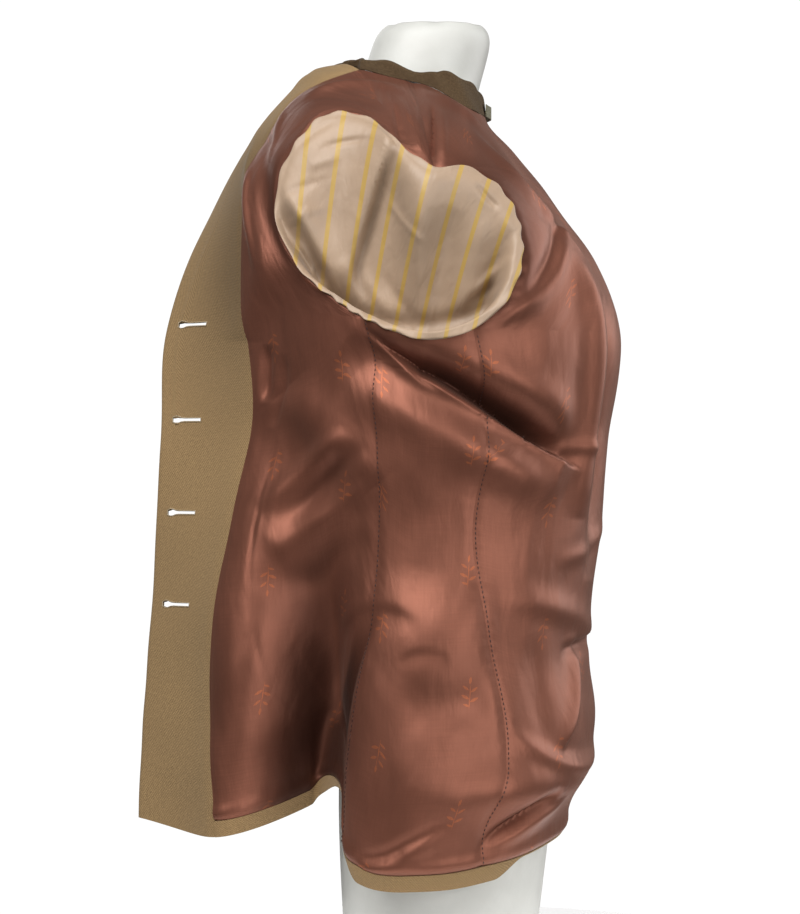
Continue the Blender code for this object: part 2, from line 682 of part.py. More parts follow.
def sleeve_faces(degrees, half):
    """Both faces of a sleeve's wall round the whole armhole: over from its seam, then down to the cuff."""
    turned = np.radians(degrees)[:, None]
    seam = armhole_yz(degrees)
    toward = np.array(ARMHOLE_MIDDLE) - seam
    toward /= np.linalg.norm(toward, axis=1, keepdims=True)
    seam = seam + toward * SEAM_GAP
    start = folded_points(to_turn(seam), half)
    over = folded_points(to_turn(seam + toward * SLEEVE_LEVEL), half) - start
    over /= np.linalg.norm(over, axis=1, keepdims=True)
    rings = np.stack([sleeve_ring(row, evenly_round(degrees), half) for row in SLEEVE_RINGS])
    leave = start + over * (SLEEVE_LEAVES + SLEEVE_HANGS * np.clip(np.sin(turned), 0.0, 1.0))
    fall = (start - rings[0]) * np.array([0.0, 0.0, 1.0])
    arrive = rings[0] + fall * SLEEVE_ARRIVES
    t = np.array(SLEEVE_STEPS_DOWN)[:, None, None]
    upper = (
        start * (1 - t) ** 3
        + 3 * leave * t * (1 - t) ** 2
        + 3 * arrive * t**2 * (1 - t)
        + rings[0] * t**3
    )
    points = np.concatenate([upper, rings[1:]])
    closed = np.concatenate([points[:, -2:-1], points, points[:, 1:2]], axis=1)
    toward_hollow = outward(closed)[:, 1:-1]
    toward_hollow[0] = slope_normal(folded_points, to_turn(seam), half)
    return points + toward_hollow * SLEEVE_WALL, points


def chain_columns(first, second):
    """Two grids side by side as one, joined at the column that they share."""
    return np.concatenate([first, second[:, 1:]], axis=1)


def build_sleeve(half, collection):
    """Both walls of a sleeve that hangs inside the body, its lining facing its hollow."""
    loop = armhole_loop(half)
    front_end, back_end = sleeve_seams(loop)
    faces = sleeve_faces(loop, half)
    for name, parts in (
        ("sleeve_top", [chain_columns(face[:, back_end:], face[:, : front_end + 1]) for face in faces]),
        ("sleeve_under", [face[:, front_end : back_end + 1] for face in faces]),
    ):
        walls = [place_half(inset(face, SLEEVE_SEAM_GAP), half) for face in parts]
        add_wall(f"{name}_{half}", *walls, SLEEVE_FINISH, collection)


def mirrored_round(right):
    """Rows of points of the right half carried on round the back to the left."""
    left = right[:, -2::-1] * np.array([-1.0, 1.0, 1.0])
    return np.concatenate([right, left], axis=1)


def build_collar(collection):
    """The collar: it stands on the neckline, rolls inwards and falls inside."""
    up = np.array([0.0, 0.0, 1.0])
    neckline = chain(front_grid("right")[-1], back_grid("right")[-1])
    turn = np.where(neckline[:, 0] < 0, neckline[:, 0] / -neckline[0, 0], neckline[:, 0])
    seat = folded_points(neckline, "right") + up * SEAM_GAP
    turns = column(COLLAR, COLLAR_COLUMNS, "turn")
    stand = smooth_through(turn, turns, column(COLLAR, COLLAR_COLUMNS, "stand"))[:, None]
    lean = smooth_through(turn, turns, column(COLLAR, COLLAR_COLUMNS, "lean_in"))[:, None]
    inward = (np.array([0.0, COLLAR_MIDDLE_Y, 0.0]) - seat) * np.array([1.0, 1.0, 0.0])
    inward /= np.linalg.norm(inward, axis=1, keepdims=True)
    top = seat + up * stand + inward * lean
    rows = [seat, (seat + top) / 2, top]
    for turned in np.radians(COLLAR_ROLL_STEPS):
        rows.append(top + COLLAR_ROLL * (inward * (1 - math.cos(turned)) + up * math.sin(turned)))
    rows.append(rows[-1] - up * np.minimum(COLLAR_FALL, stand * COLLAR_FALL_SHARE))
    outer = mirrored_round(np.stack(rows))
    add_wall("collar", outer, outer - outward(outer) * COLLAR_WALL, COLLAR_FINISH, collection)


def build_loop(collection):
    """A hanger loop: a short strip that stands off the collar's seam at the centre back."""
    foot_z = NECK_BACK_Z + LOOP_RISE
    turns = np.linspace(1.0, 0.0, TRACE_STEPS)
    seat = folded_points(np.stack([turns, np.full(TRACE_STEPS, foot_z)], axis=1), "right")
    x = np.linspace(LOOP_HALF_LENGTH, -LOOP_HALF_LENGTH, LOOP_STEPS + 1)
    seat_y = np.interp(np.abs(x), seat[:, 0], seat[:, 1])
    y = seat_y + SEAM_GAP + LOOP_WALL + LOOP_BULGE * ease(1 - np.abs(x) / LOOP_HALF_LENGTH)
    low = np.stack([x, y, np.full(len(x), foot_z)], axis=1)
    outer = np.stack([low, low + np.array([0.0, 0.0, LOOP_HEIGHT])])
    add_wall("hanger_loop", outer, outer - [0.0, LOOP_WALL, 0.0], LOOP_FINISH, collection)


def build_form(collection):
    """The dress form: level sections lofted from a flat foot to a flat neck cap."""
    turned = np.linspace(0.0, 2 * math.pi, FORM_STEPS_ROUND + 1)
    power = 2 / FORM_ROUNDNESS
    across = np.sign(np.cos(turned)) * np.abs(np.cos(turned)) ** power
    ahead = np.sign(np.sin(turned)) * np.abs(np.sin(turned)) ** power
    rows = []
    for z, half_width, back_y, chest_y in FORM:
        y = (chest_y + back_y) / 2 + (chest_y - back_y) / 2 * ahead
        rows.append(np.stack([half_width * across, y, np.full(len(turned), z)], axis=1))
    bm = bmesh.new()
    grid_into(bm, np.stack(rows))
    bmesh.ops.remove_doubles(bm, verts=bm.verts, dist=WELD)
    rims = [edge for edge in bm.edges if edge.is_boundary]
    bmesh.ops.holes_fill(bm, edges=rims, sides=0)
    bmesh.ops.recalc_face_normals(bm, faces=bm.faces)
    made = add_object("dress_form", bm, FORM_FINISH, collection)
    made.data.set_sharp_from_angle(angle=math.radians(SHARP_ABOVE_DEG))


def build_buttons(collection):
    """Four shanked buttons on the left front's cloth, each seated where a ray meets it."""
    shank_radius, shank_height = BUTTON_SHANK
    top = shank_height + BUTTON_THICK
    profile = (
        (0.0, top),
        (BUTTON_RADIUS - BUTTON_EDGE, top),
        (BUTTON_RADIUS, top - BUTTON_EDGE),
        (BUTTON_RADIUS, shank_height + BUTTON_EDGE),
        (BUTTON_RADIUS - BUTTON_EDGE, shank_height),
        (shank_radius, shank_height),
        (shank_radius, 0.0),
        (0.0, 0.0),
    )
    bpy.context.view_layer.update()
    front = bpy.data.objects["cloth_front_left"].evaluated_get(bpy.context.evaluated_depsgraph_get())
    for number, z in enumerate(BUTTON_HEIGHTS, start=1):
        y = float(section(z, "left")["front_y"]) + BUTTON_FROM_EDGE
        _, place, facing_way, _ = front.ray_cast(Vector((0.0, y, z)), Vector((-1.0, 0.0, 0.0)))
        bm = bmesh.new()
        verts = [bm.verts.new((radius, 0.0, height)) for radius, height in profile]
        edges = [bm.edges.new(pair) for pair in zip(verts, verts[1:])]
        bmesh.ops.spin(
            bm,
            geom=verts + edges,
            axis=(0.0, 0.0, 1.0),
            cent=(0.0, 0.0, 0.0),
            steps=BUTTON_SIDES,
            angle=2 * math.pi,
        )
        bmesh.ops.remove_doubles(bm, verts=bm.verts, dist=WELD)
        bmesh.ops.recalc_face_normals(bm, faces=bm.faces)
        made = add_object(f"button_{number}", bm, BUTTON_FINISH, collection)
        made.data.set_sharp_from_angle(angle=math.radians(SHARP_ABOVE_DEG))
        made.location = place + facing_way * BUTTON_SEAT
        made.rotation_euler = facing_way.to_track_quat("Z", "Y").to_euler()


def main():
    for old in list(bpy.data.objects):
        bpy.data.objects.remove(old)
    blazer = bpy.data.collections.new("blazer_on_dress_form")
    bpy.context.scene.collection.children.link(blazer)
    for half in ("right", "left"):
        build_body(half, blazer)
        build_sleeve(half, blazer)
    build_collar(blazer)
    build_loop(blazer)
    build_form(blazer)
    build_buttons(blazer)


main()
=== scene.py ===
"""A blazer hung inside out and back to front on a dress form: its cloth, trims and studio.

Metres, +Z up. The blazer's open front faces -Y, the half with the buttonholes is at +X and the
camera looks along -X. Places on a half are (turn, z): turn runs from -1 at the front edge through
0 at the side to 1 at the centre back.
"""

import json
import logging
import math
from dataclasses import dataclass
from enum import Enum
from typing import Any, Callable

import bpy
import numpy as np
from mathutils import Matrix, Vector

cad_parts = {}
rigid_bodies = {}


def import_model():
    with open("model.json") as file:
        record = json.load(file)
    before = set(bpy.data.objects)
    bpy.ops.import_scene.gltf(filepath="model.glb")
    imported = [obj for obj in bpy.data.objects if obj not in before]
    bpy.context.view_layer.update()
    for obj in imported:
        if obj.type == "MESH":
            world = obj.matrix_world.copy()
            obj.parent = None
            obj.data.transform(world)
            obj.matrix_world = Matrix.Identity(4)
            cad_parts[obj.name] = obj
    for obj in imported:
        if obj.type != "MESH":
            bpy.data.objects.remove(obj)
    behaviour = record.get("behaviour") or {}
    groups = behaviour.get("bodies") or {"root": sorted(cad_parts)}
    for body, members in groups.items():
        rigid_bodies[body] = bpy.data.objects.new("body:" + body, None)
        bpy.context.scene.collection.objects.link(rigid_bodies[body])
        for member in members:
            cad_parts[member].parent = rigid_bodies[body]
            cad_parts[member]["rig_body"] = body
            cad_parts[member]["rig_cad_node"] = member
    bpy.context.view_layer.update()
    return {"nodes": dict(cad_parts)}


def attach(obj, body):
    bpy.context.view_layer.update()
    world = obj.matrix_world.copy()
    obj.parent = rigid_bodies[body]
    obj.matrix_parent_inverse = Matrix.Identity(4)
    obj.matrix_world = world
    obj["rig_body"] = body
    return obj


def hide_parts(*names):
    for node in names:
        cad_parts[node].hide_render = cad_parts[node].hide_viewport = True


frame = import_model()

Array = np.ndarray
Piece = bpy.types.Object
Socket = bpy.types.NodeSocket
Floats = tuple[float, ...]
Pair = tuple[float, float]
Triple = tuple[float, float, float]
Colour = Triple
Cells = set[tuple[int, int]]
Heights = Callable[[Array, Array], Array]

LOG = logging.getLogger("blazer")
BODY = "root"
FORM_NODE = "dress_form"
CLOTH_UV = "cloth"
FOLD_SHADE = "fold_shade"
OTHER_SIDE = np.array([-1.0, 1.0, 1.0])
OUTWARD = np.array([1.0, 0.0, 0.0])
UP = np.array([0.0, 0.0, 1.0])


class Half(Enum):
    """The two halves of the blazer: buttonholes on the right one, buttons on the left."""

    RIGHT = 1.0
    LEFT = -1.0

    @property
    def word(self) -> str:
        """The half's name as the nodes have it."""
        return self.name.lower()


class Hold(Enum):
    """How a sheet of cloth is held."""

    HUNG = "hung"
    GATHERED = "gathered"
    FOLDED = "folded"


@dataclass(frozen=True)
class Section:
    """A level section of one half. The flap angle is measured from straight ahead."""

    z: float
    front_y: float
    front_x: float
    flap_deg: float
    side_y: float
    side_x: float
    back_y: float


FAR_BELOW = -1.0
FULL_TURN = 360


@dataclass(frozen=True)
class Fold:
    """A soft ridge (depth over 0) or trough along a bowed line on (s, z) of a half.

    Its width to the right of the way from start to end is lee times that to the left. The higher
    its taper, the softer it runs out at both ends.
    """

    start: Pair
    end: Pair
    bow: float
    width: float
    depth: float
    lee: float = 1.0
    taper: float = 1.0

    def moves(self, s: Array, z: Array) -> Array:
        """How far the fold moves the surface out.

        Args:
            s: places along the sections.
            z: heights.

        Returns:
            The move along the normal at each place.
        """
        along_s, along_z = self.end[0] - self.start[0], self.end[1] - self.start[1]
        length = math.hypot(along_s, along_z)
        from_s, from_z = s - self.start[0], z - self.start[1]
        t = (from_s * along_s + from_z * along_z) / length**2
        aside = (from_z * along_s - from_s * along_z) / length - self.bow * 4 * t * (1 - t)
        fade = np.clip(1 - (2 * t - 1) ** 4, 0.0, 1.0) ** self.taper
        width = np.where(aside > 0, self.width, self.width * self.lee)
        return self.depth * fade * bell(aside, width)

    def height_at(self, s: Array) -> Array:
        """The height of the fold's line, far away beyond its ends.

        Args:
            s: places along the sections.

        Returns:
            The height at each place.
        """
        along_s, along_z = self.end[0] - self.start[0], self.end[1] - self.start[1]
        t = (s - self.start[0]) / along_s
        bowed = self.bow * 4 * t * (1 - t) * math.hypot(along_s, along_z) / along_s
        return np.where((t > 0) & (t < 1), self.start[1] + t * along_z + bowed, FAR_BELOW)


@dataclass(frozen=True)
class PhotoView:
    """The camera of the photograph, level, on the line that the photograph's middle gives."""

    width: int = 800
    height: int = 914
    distance: float = 2.2
    pixel: float = 0.00083
    middle_y: float = -0.0332
    middle_z: float = 0.4284
    sensor: float = 36.0

    @property
    def lens(self) -> float:
        """The focal length in millimetres for the sensor's long side."""
        return self.sensor * self.distance / (self.pixel * self.height)

    def scale(self, x: float) -> float:
        """Metres to a pixel on the upright plane at x."""
        return self.pixel * (self.distance - x) / self.distance

    def at_depth(self, pixel: Pair, x: float) -> Array:
        """The (y, z) that a pixel shows on the upright plane at x."""
        from_middle = np.array([pixel[0] - self.width / 2, self.height / 2 - pixel[1]])
        return np.array([self.middle_y, self.middle_z]) + from_middle * self.scale(x)


VIEW = PhotoView()

HEM_Z = 0.100
HEM_SHOWS = 0.013
HEM_RISE_FADES_AT = 0.300
BACK_ROUNDNESS = 2.3
CENTRE_BACK_FROM_TURN = 0.8
SLOPE_STEP = 2e-4
TRACE_STEPS = 60

SECTIONS = (
    Section(0.070, -0.2435, 0.085, 25, -0.004, 0.168, 0.0800),
    Section(0.100, -0.2425, 0.085, 25, -0.004, 0.176, 0.0960),
    Section(0.140, -0.2412, 0.082, 28, -0.005, 0.184, 0.1090),
    Section(0.195, -0.2396, 0.078, 34, -0.006, 0.188, 0.1260),
    Section(0.276, -0.2356, 0.070, 40, -0.008, 0.182, 0.1210),
    Section(0.360, -0.2319, 0.062, 32, -0.010, 0.176, 0.1320),
    Section(0.440, -0.2268, 0.055, 20, -0.014, 0.184, 0.1380),
    Section(0.530, -0.2240, 0.045, 32, -0.018, 0.197, 0.1470),
    Section(0.590, -0.2060, 0.036, 56, -0.018, 0.200, 0.1250),
    Section(0.640, -0.1825, 0.030, 68, -0.014, 0.188, 0.0890),
    Section(0.677, -0.1620, 0.028, 72, -0.014, 0.150, 0.0610),
    Section(0.705, -0.1452, 0.028, 72, -0.018, 0.108, 0.0402),
    Section(0.729, -0.1236, 0.026, 70, -0.022, 0.063, 0.0340),
    Section(0.742, -0.1105, 0.026, 66, -0.022, 0.046, 0.0300),
    Section(0.748, -0.0970, 0.026, 62, -0.022, 0.042, 0.0280),
    Section(0.751, -0.0740, 0.026, 60, -0.022, 0.040, 0.0260),
)
CHEST_X = 0.184
SIGHT_STEPS = 8

# Rise of the hem above its level line, by place s
HEM_RISE = (
    (-0.250, 0.042), (-0.170, 0.032), (-0.125, 0.046), (-0.100, 0.056), (-0.078, 0.010),
    (-0.062, 0.003), (-0.015, 0.000), (0.050, 0.003), (0.110, 0.010), (0.250, 0.020),
)

# How far the hem is drawn up under the lining's foot, by place s
HEM_TUCK = ((-0.112, 0.0), (-0.094, 1.0), (-0.078, 1.0), (-0.064, 0.0), (0.050, 0.0), (0.085, 1.0))
HEM_TUCK_MOST = 0.93
LEFT_TUCK_FROM_TURN = 0.5

# Seams as (z, y), and the points where they meet
FACING_SEAM = (
    (0.090, -0.172), (0.190, -0.178), (0.270, -0.180), (0.380, -0.163), (0.473, -0.150),
    (0.550, -0.159), (0.612, -0.158), (0.660, -0.152), (0.697, -0.136), (0.724, -0.112),
    (0.7425, -0.066),
)
FRONT_SEAM = (
    (0.090, -0.083), (0.170, -0.082), (0.240, -0.071), (0.320, -0.056), (0.404, -0.052),
    (0.540, -0.064),
)
BACK_SEAM = (
    (0.090, 0.031), (0.140, 0.029), (0.190, 0.046), (0.300, 0.031), (0.370, 0.023),
    (0.450, 0.033), (0.540, 0.021),
)
EDGE_TOP_Z = 0.7500
NECK_FRONT_Z = 0.7425
NECK_SIDE = (-0.0225, 0.7294)
NECK_BACK_Z = 0.707
NECK_DIP = 0.0115
SHOULDER_LEVEL_AT_BACK = 0.664
SHOULDER_ANGLE = 62.0
FACING_TURNS_Z = 0.548

# How far up the front edge each angle of the armhole's front lies
FRONT_PACE = (
    (62.0, 0.970), (88.0, 0.920), (115.0, 0.790), (140.0, 0.620), (180.0, 0.370), (247.0, 0.0),
)

SEAMS_MEET_ARMHOLE = (247.0, 306.5)
ARMHOLE_MIDDLE = np.array([-0.0332, 0.6006])

# The armhole, seen from the side: its reach from its middle every 15 degrees from the back
ARMHOLE_REACH = (
    0.0920, 0.0874, 0.0795, 0.0698, 0.0562, 0.0575, 0.0683, 0.0945,
    0.1110, 0.1095, 0.1055, 0.1002, 0.0921, 0.0835, 0.0767, 0.0714,
    0.0712, 0.0732, 0.0790, 0.0866, 0.0915, 0.0954, 0.0968, 0.0957,
)
ARMHOLE_DEGREES = np.arange(-FULL_TURN, 2 * FULL_TURN, 15)

# Buttonholes, down the right front
HOLE_HEIGHTS = (0.5355, 0.4584, 0.3838, 0.3108)
HOLE_FROM_EDGE = 0.0100
HOLE_LENGTH = 0.024
HOLE_WIDTH = 0.0030
HOLE_MOST_SHARES = (0.3, 0.7)

# Large folds of the right half, on (s, z)
FOLDS = {
    "hip_valley": Fold((-0.131, -0.060), (-0.098, 0.385), 0.000, 0.028, -0.058, 1.0, 2.0),
    "hip_swell": Fold((-0.040, 0.020), (-0.006, 0.345), 0.000, 0.044, 0.012, 1.0, 2.0),
    "flap_roll": Fold((-0.172, -0.050), (-0.140, 0.460), 0.000, 0.030, 0.014, 1.0, 2.0),
    "underarm_valley": Fold((-0.075, 0.516), (0.105, 0.424), -0.006, 0.017, -0.015),
    "underarm_ridge": Fold((-0.070, 0.488), (0.110, 0.396), -0.006, 0.018, 0.005),
    "armhole_roll": Fold((-0.158, 0.520), (-0.138, 0.680), -0.014, 0.015, 0.006),
    "chest_drag": Fold((-0.125, 0.480), (-0.060, 0.400), 0.010, 0.020, 0.007),
    "waist_drag": Fold((-0.130, 0.360), (-0.050, 0.420), -0.010, 0.022, -0.005, 1.0, 2.0),
    "back_ridge": Fold((0.150, 0.600), (0.135, 0.380), 0.008, 0.016, 0.010),
    "back_valley": Fold((0.185, 0.560), (0.175, 0.330), 0.006, 0.020, -0.010),
    "low_back_swag": Fold((0.060, 0.230), (0.230, 0.165), -0.020, 0.018, -0.002),
    "hem_blouse": Fold((-0.040, 0.176), (0.290, 0.160), 0.000, 0.020, 0.009),
}

CREASE_TAPER = 2.0
MILLIMETRE = 0.001

# The sharpest crease: rows of cloth run along it, and lie closer between two heights
SHARPEST = "underarm_cut"
LEAD_REACH = 0.006
CLOSE_ROWS_FROM = 0.412
CLOSE_ROWS_TO = 0.535


@dataclass(frozen=True)
class Crease:
    """A finer fold of the right half, placed by pixels of the photograph. Depth in millimetres."""

    start: Pair
    end: Pair
    bow: float
    width: float
    depth: float
    lee: float = 1.0

    def fold(self, start: Pair, end: Pair, scale: float) -> Fold:
        """The crease as a fold between two places, at metres to a pixel."""
        bow, width = self.bow * scale, self.width * scale
        return Fold(start, end, bow, width, self.depth * MILLIMETRE, self.lee, CREASE_TAPER)


# Finer folds that the photograph shows. A bow over 0 bulges to the left of the way from start to end
CREASES = {
    "underarm_roll": Crease((424, 350), (574, 424), 6, 20, 5.0),
    "underarm_start": Crease((358, 322), (444, 394), -3, 6, -3.5, 0.4),
    "underarm_cut": Crease((374, 341), (580, 469), -11, 20, -11.0, 0.15),
    "underarm_lip": Crease((371.4, 345.2), (577.4, 473.2), -11, 3, 10.5, 10.0),
    "underarm_tip": Crease((556, 452), (596, 450), 5, 7, 2.0),
    "chest_ridge_1": Crease((264, 514), (352, 428), 3, 11, 5.0),
    "chest_valley_1": Crease((278, 526), (370, 440), 2, 11, -4.0),
    "chest_ridge_2": Crease((272, 560), (376, 482), 4, 13, 5.0),
    "chest_valley_2": Crease((258, 594), (374, 532), 0, 14, -3.0),
    "chest_streak": Crease((266, 343), (264, 404), 0, 7, -5.0, 0.6),
    "chest_streak_2": Crease((284, 352), (272, 430), 4, 5, -3.0, 1.6),
    "waist_arc": Crease((316, 642), (424, 628), 22, 8, -2.2, 2.0),
    "hip_crescent": Crease((398, 664), (450, 660), 8, 4, -0.9, 3.0),
    "belly_swell": Crease((366, 622), (502, 614), 4, 44, 4.5),
    "hip_edge": Crease((378, 608), (329, 800), -11, 5, -9.0, 5.0),
    "seat_dent": Crease((396, 712), (494, 704), 0, 24, -4.5),
    "hem_drag_cut": Crease((340, 871), (450, 816), -2, 7, -2.2, 0.8),
    "hem_drag": Crease((342, 882), (452, 826), -2, 7, 2.2, 1.6),
    "hem_back_cut": Crease((476, 848), (556, 798), 2, 8, -7.0, 0.6),
    "hem_back_lip": Crease((482, 855), (562, 807), 2, 5, 4.5, 2.5),
    "pouch": Crease((504, 730), (612, 756), -28, 10, 4.0, 0.9),
    "pouch_valley": Crease((534, 630), (550, 752), -4, 18, -2.5),
    "low_back_ridge": Crease((576, 630), (554, 764), 21, 6, 5.5, 2.4),
    "back_notch": Crease((560, 652), (614, 635), 2, 5, -5.0, 1.8),
    "back_above_notch": Crease((486, 594), (608, 634), 4, 15, 3.0, 0.8),
    "mid_back_bend": Crease((552, 562), (606, 520), -6, 9, 2.0),
    "shoulder_line": Crease((296, 100), (416, 96), 17, 3, 3.0, 2.0),
    "shoulder_line_back": Crease((408, 90), (486, 128), 3, 3, 3.0, 2.0),
    "shoulder_crinkle_1": Crease((433, 106), (432, 172), 0, 3, -4.5),
    "shoulder_crinkle_2": Crease((442, 108), (443, 166), 1, 5, 2.0),
    "shoulder_crinkle_3": Crease((415, 106), (421, 160), 0, 5, 2.0),
    "shoulder_crinkle_4": Crease((394, 104), (402, 150), 0, 3, -2.0),
    "front_armhole_valley": Crease((273, 122), (290, 270), -15, 9, -5.0),
    "front_armhole_light": Crease((286, 104), (268, 168), -4, 3, 2.0),
    "front_armhole_ridge": Crease((254, 122), (264, 276), -14, 4, 3.0),
    "armhole_back_valley": Crease((548, 196), (526, 300), 3, 11, -5.0),
    "armhole_back_roll": Crease((550, 200), (486, 324), 20, 12, 4.5, 0.6),
    "back_shoulder": Crease((480, 104), (612, 306), 6, 26, -4.0),
    "back_shoulder_ridge": Crease((468, 126), (606, 300), 9, 5, 4.0, 2.0),
    "dart": Crease((278, 440), (288, 785), -27, 1.8, -0.9),
}

# Finer folds of the left half, on (s, z)
LEFT_CREASES = {
    "underarm_cut": Fold((-0.060, 0.500), (0.090, 0.440), -0.004, 0.008, -0.006),
    "underarm_lip": Fold((-0.070, 0.482), (0.110, 0.425), -0.004, 0.009, 0.005),
    "chest_streak": Fold((-0.110, 0.560), (-0.105, 0.430), 0.004, 0.009, -0.004),
    "waist_drag_1": Fold((-0.090, 0.390), (0.010, 0.350), 0.006, 0.010, 0.004),
    "waist_drag_2": Fold((-0.070, 0.365), (0.030, 0.330), 0.006, 0.009, -0.004),
    "hip_drag": Fold((-0.060, 0.270), (0.060, 0.220), 0.010, 0.012, 0.005),
    "seat_drag": Fold((0.050, 0.300), (0.160, 0.255), -0.008, 0.010, -0.005),
    "seat_lip": Fold((0.045, 0.282), (0.165, 0.236), -0.008, 0.010, 0.004),
    "shoulder_blade": Fold((0.060, 0.600), (0.120, 0.500), 0.010, 0.012, 0.005),
    "hem_drag": Fold((0.000, 0.170), (0.120, 0.135), 0.006, 0.009, 0.004),
}
LEFT_FOLD_SHARE = 0.6
LEFT_FOLD_LIFT = -0.012
FOLDS_FADE_BY_ARMHOLE = 0.022
CREASES_FADE_BY_ARMHOLE = 0.010

# Shade in folds: how far around and in how many ways to look, and the depths where it starts and is full
SHADE_REACHES = (0.009, 0.018)
SHADE_WAYS = 8
SHADE_FROM = 0.004
SHADE_FULL = 0.021
SHADE_OF_LARGE = 0.50

# Shade beside the armhole, most at its front and back, where the sleeve's lining puffs out
RIM_SHADE = 0.65
RIM_SHADE_REACH = 0.013

# The left front lies nearer the form
LEFT_FRONT_BACK = 0.045
LEFT_FRONT_IN = 0.030
LEFT_FLAP_TURN = 26.0
LEFT_FLAP_MOST = 58.0
LEFT_FRONT_FROM_Z = 0.560
LEFT_FRONT_TO_Z = 0.720

# Long slanted waves of hanging lining: rate along s, rate along z, start and height
RIPPLES = (
    (38, 21, 0.3, 0.0007), (-27, 44, 1.7, 0.0006), (71, 33, 4.1, 0.0004), (-58, 83, 2.6, 0.0003),
)


def depth_below(height: Heights, s: Array, z: Array, reaches: Floats) -> Array:
    """How far places lie below the highest cloth near them.

    Args:
        height: the cloth's height at places.
        s: places along.
        z: places up.
        reaches: how far around to look.

    Returns:
        The depth at each place.
    """
    ways = np.linspace(0.0, 2 * math.pi, SHADE_WAYS, endpoint=False)
    around = [
        height(s + reach * math.cos(way), z + reach * math.sin(way)) for reach in reaches for way in ways
    ]
    return np.max(around, axis=0) - height(s, z)


def smooth_through(places: Array, knots: Any, values: Any) -> Array:
    """Values on a smooth curve through knots, level beyond its ends.

    Args:
        places: where the values are wanted.
        knots: rising places of the known values.
        values: the known values.

    Returns:
        One value for each place.
    """
    knots, values = np.asarray(knots, float), np.asarray(values, float)
    places = np.clip(np.asarray(places, float), knots[0], knots[-1])
    slopes = np.gradient(values, knots)
    low = np.clip(np.searchsorted(knots, places, side="right") - 1, 0, len(knots) - 2)
    span = knots[low + 1] - knots[low]
    t = (places - knots[low]) / span
    return (
        values[low] * (2 * t**3 - 3 * t**2 + 1)
        + values[low + 1] * (3 * t**2 - 2 * t**3)
        + span * slopes[low] * (t**3 - 2 * t**2 + t)
        + span * slopes[low + 1] * (t**3 - t**2)
    )


def ease(values: Array, start: float = 0.0, end: float = 1.0) -> Array:
    """0 to 1 as values go from start to end, with a level start and end."""
    t = np.clip((values - start) / (end - start), 0.0, 1.0)
    return t * t * (3 - 2 * t)


def bell(off: Array, reach: Any) -> Array:
    """1 where off is 0, falling to almost 0 at twice its reach."""
    return np.exp(-((off / reach) ** 2))


def unit(vectors: Array) -> Array:
    """Vectors made one long."""
    return vectors / np.maximum(np.linalg.norm(vectors, axis=-1, keepdims=True), 1e-12)


def grid_normals(points: Array) -> Array:
    """Unit normals of a grid, across its columns and then its rows."""
    return unit(np.cross(np.gradient(points, axis=1), np.gradient(points, axis=0)))


def run_along(points: Array, axis: int) -> Array:
    """Lengths along the rows (axis 1) or columns (axis 0) of a grid, from its first point."""
    steps = np.linalg.norm(np.diff(points, axis=axis), axis=2)
    return np.insert(np.cumsum(steps, axis=axis), 0, 0.0, axis=axis)


def cut_map(points: Array) -> Array:
    """The cloth's flat (u, v) in metres for a grid, counted from its middle column and foot."""
    across, middle = run_along(points, 1), points.shape[1] // 2
    return np.stack([across - across[:, middle : middle + 1], run_along(points, 0)], axis=2)


def seam_yz(seam: tuple[Pair, ...], heights: Array) -> Array:
    """(y, z) up a seam given as (z, y)."""
    z, y = zip(*seam)
    return np.stack([smooth_through(heights, z, y), heights], axis=-1)


def run_up(line: Array) -> Array:
    """Lengths along a line to each of its points."""
    return np.insert(np.cumsum(np.linalg.norm(np.diff(line, axis=0), axis=1)), 0, 0.0)


def on_line(wanted: Array, run: Array, line: Array) -> Array:
    """Values of a line at wanted lengths, from the lengths to its points."""
    return np.stack([np.interp(wanted, run, column) for column in line.T], axis=1)


def armhole_reach(degrees: Array) -> Array:
    """How far the armhole's edge lies from its middle at angles from the back, counted upwards."""
    return smooth_through(np.asarray(degrees, float) % FULL_TURN, ARMHOLE_DEGREES, ARMHOLE_REACH * 3)


def armhole_yz(degrees: Array) -> Array:
    """(y, z) of the armhole's edge at angles from the back."""
    way = np.stack([np.cos(np.radians(degrees)), np.sin(np.radians(degrees))], axis=-1)
    return ARMHOLE_MIDDLE + np.asarray(armhole_reach(degrees))[..., None] * way


def armhole_angles(first: float, last: float, count: int) -> Array:
    """Angles that part the armhole between two angles into stretches of equal length.

    Args:
        first: the angle to start from.
        last: the angle to end at.
        count: how many stretches.

    Returns:
        The angles, both ends with them.
    """
    fine = np.linspace(first, last, TRACE_STEPS)
    run = run_up(armhole_yz(fine))
    return np.interp(np.linspace(0.0, run[-1], count + 1), run, fine)


def along(line: Array, shares: Array) -> Array:
    """Points at shares of a line's length, 0 at its start to 1 at its end."""
    run = run_up(line)
    return on_line(shares * run[-1], run, line)


def chain(*lines: Array) -> Array:
    """Lines end to end as one."""
    return np.concatenate([lines[0]] + [line[1:] for line in lines[1:]])


def between(first: Array, second: Array, columns: int) -> Array:
    """A grid between two lines with the same count of points."""
    share = np.linspace(0.0, 1.0, columns + 1)[None, :, None]
    return first[:, None, :] * (1 - share) + second[:, None, :] * share


def every_other(count: int, kept: int = 0) -> list[int]:
    """Every other one of a count of rows or columns: the first few all kept, and the last."""
    return [*range(kept), *range(kept, count - 1, 2), count - 1]


def lowest_near(values: Array, reach: int) -> Array:
    """The lowest value within some rows and columns of each place in a grid.

    Args:
        values: the grid.
        reach: how many rows and columns to look.

    Returns:
        The lowest value for each place.
    """
    for axis, count in enumerate(values.shape):
        room = [(reach, reach) if axis == padded else (0, 0) for padded in (0, 1)]
        wide = np.pad(values, room, mode="edge")
        starts = range(2 * reach + 1)
        values = np.min([np.take(wide, np.arange(at, at + count), axis=axis) for at in starts], axis=0)
    return values


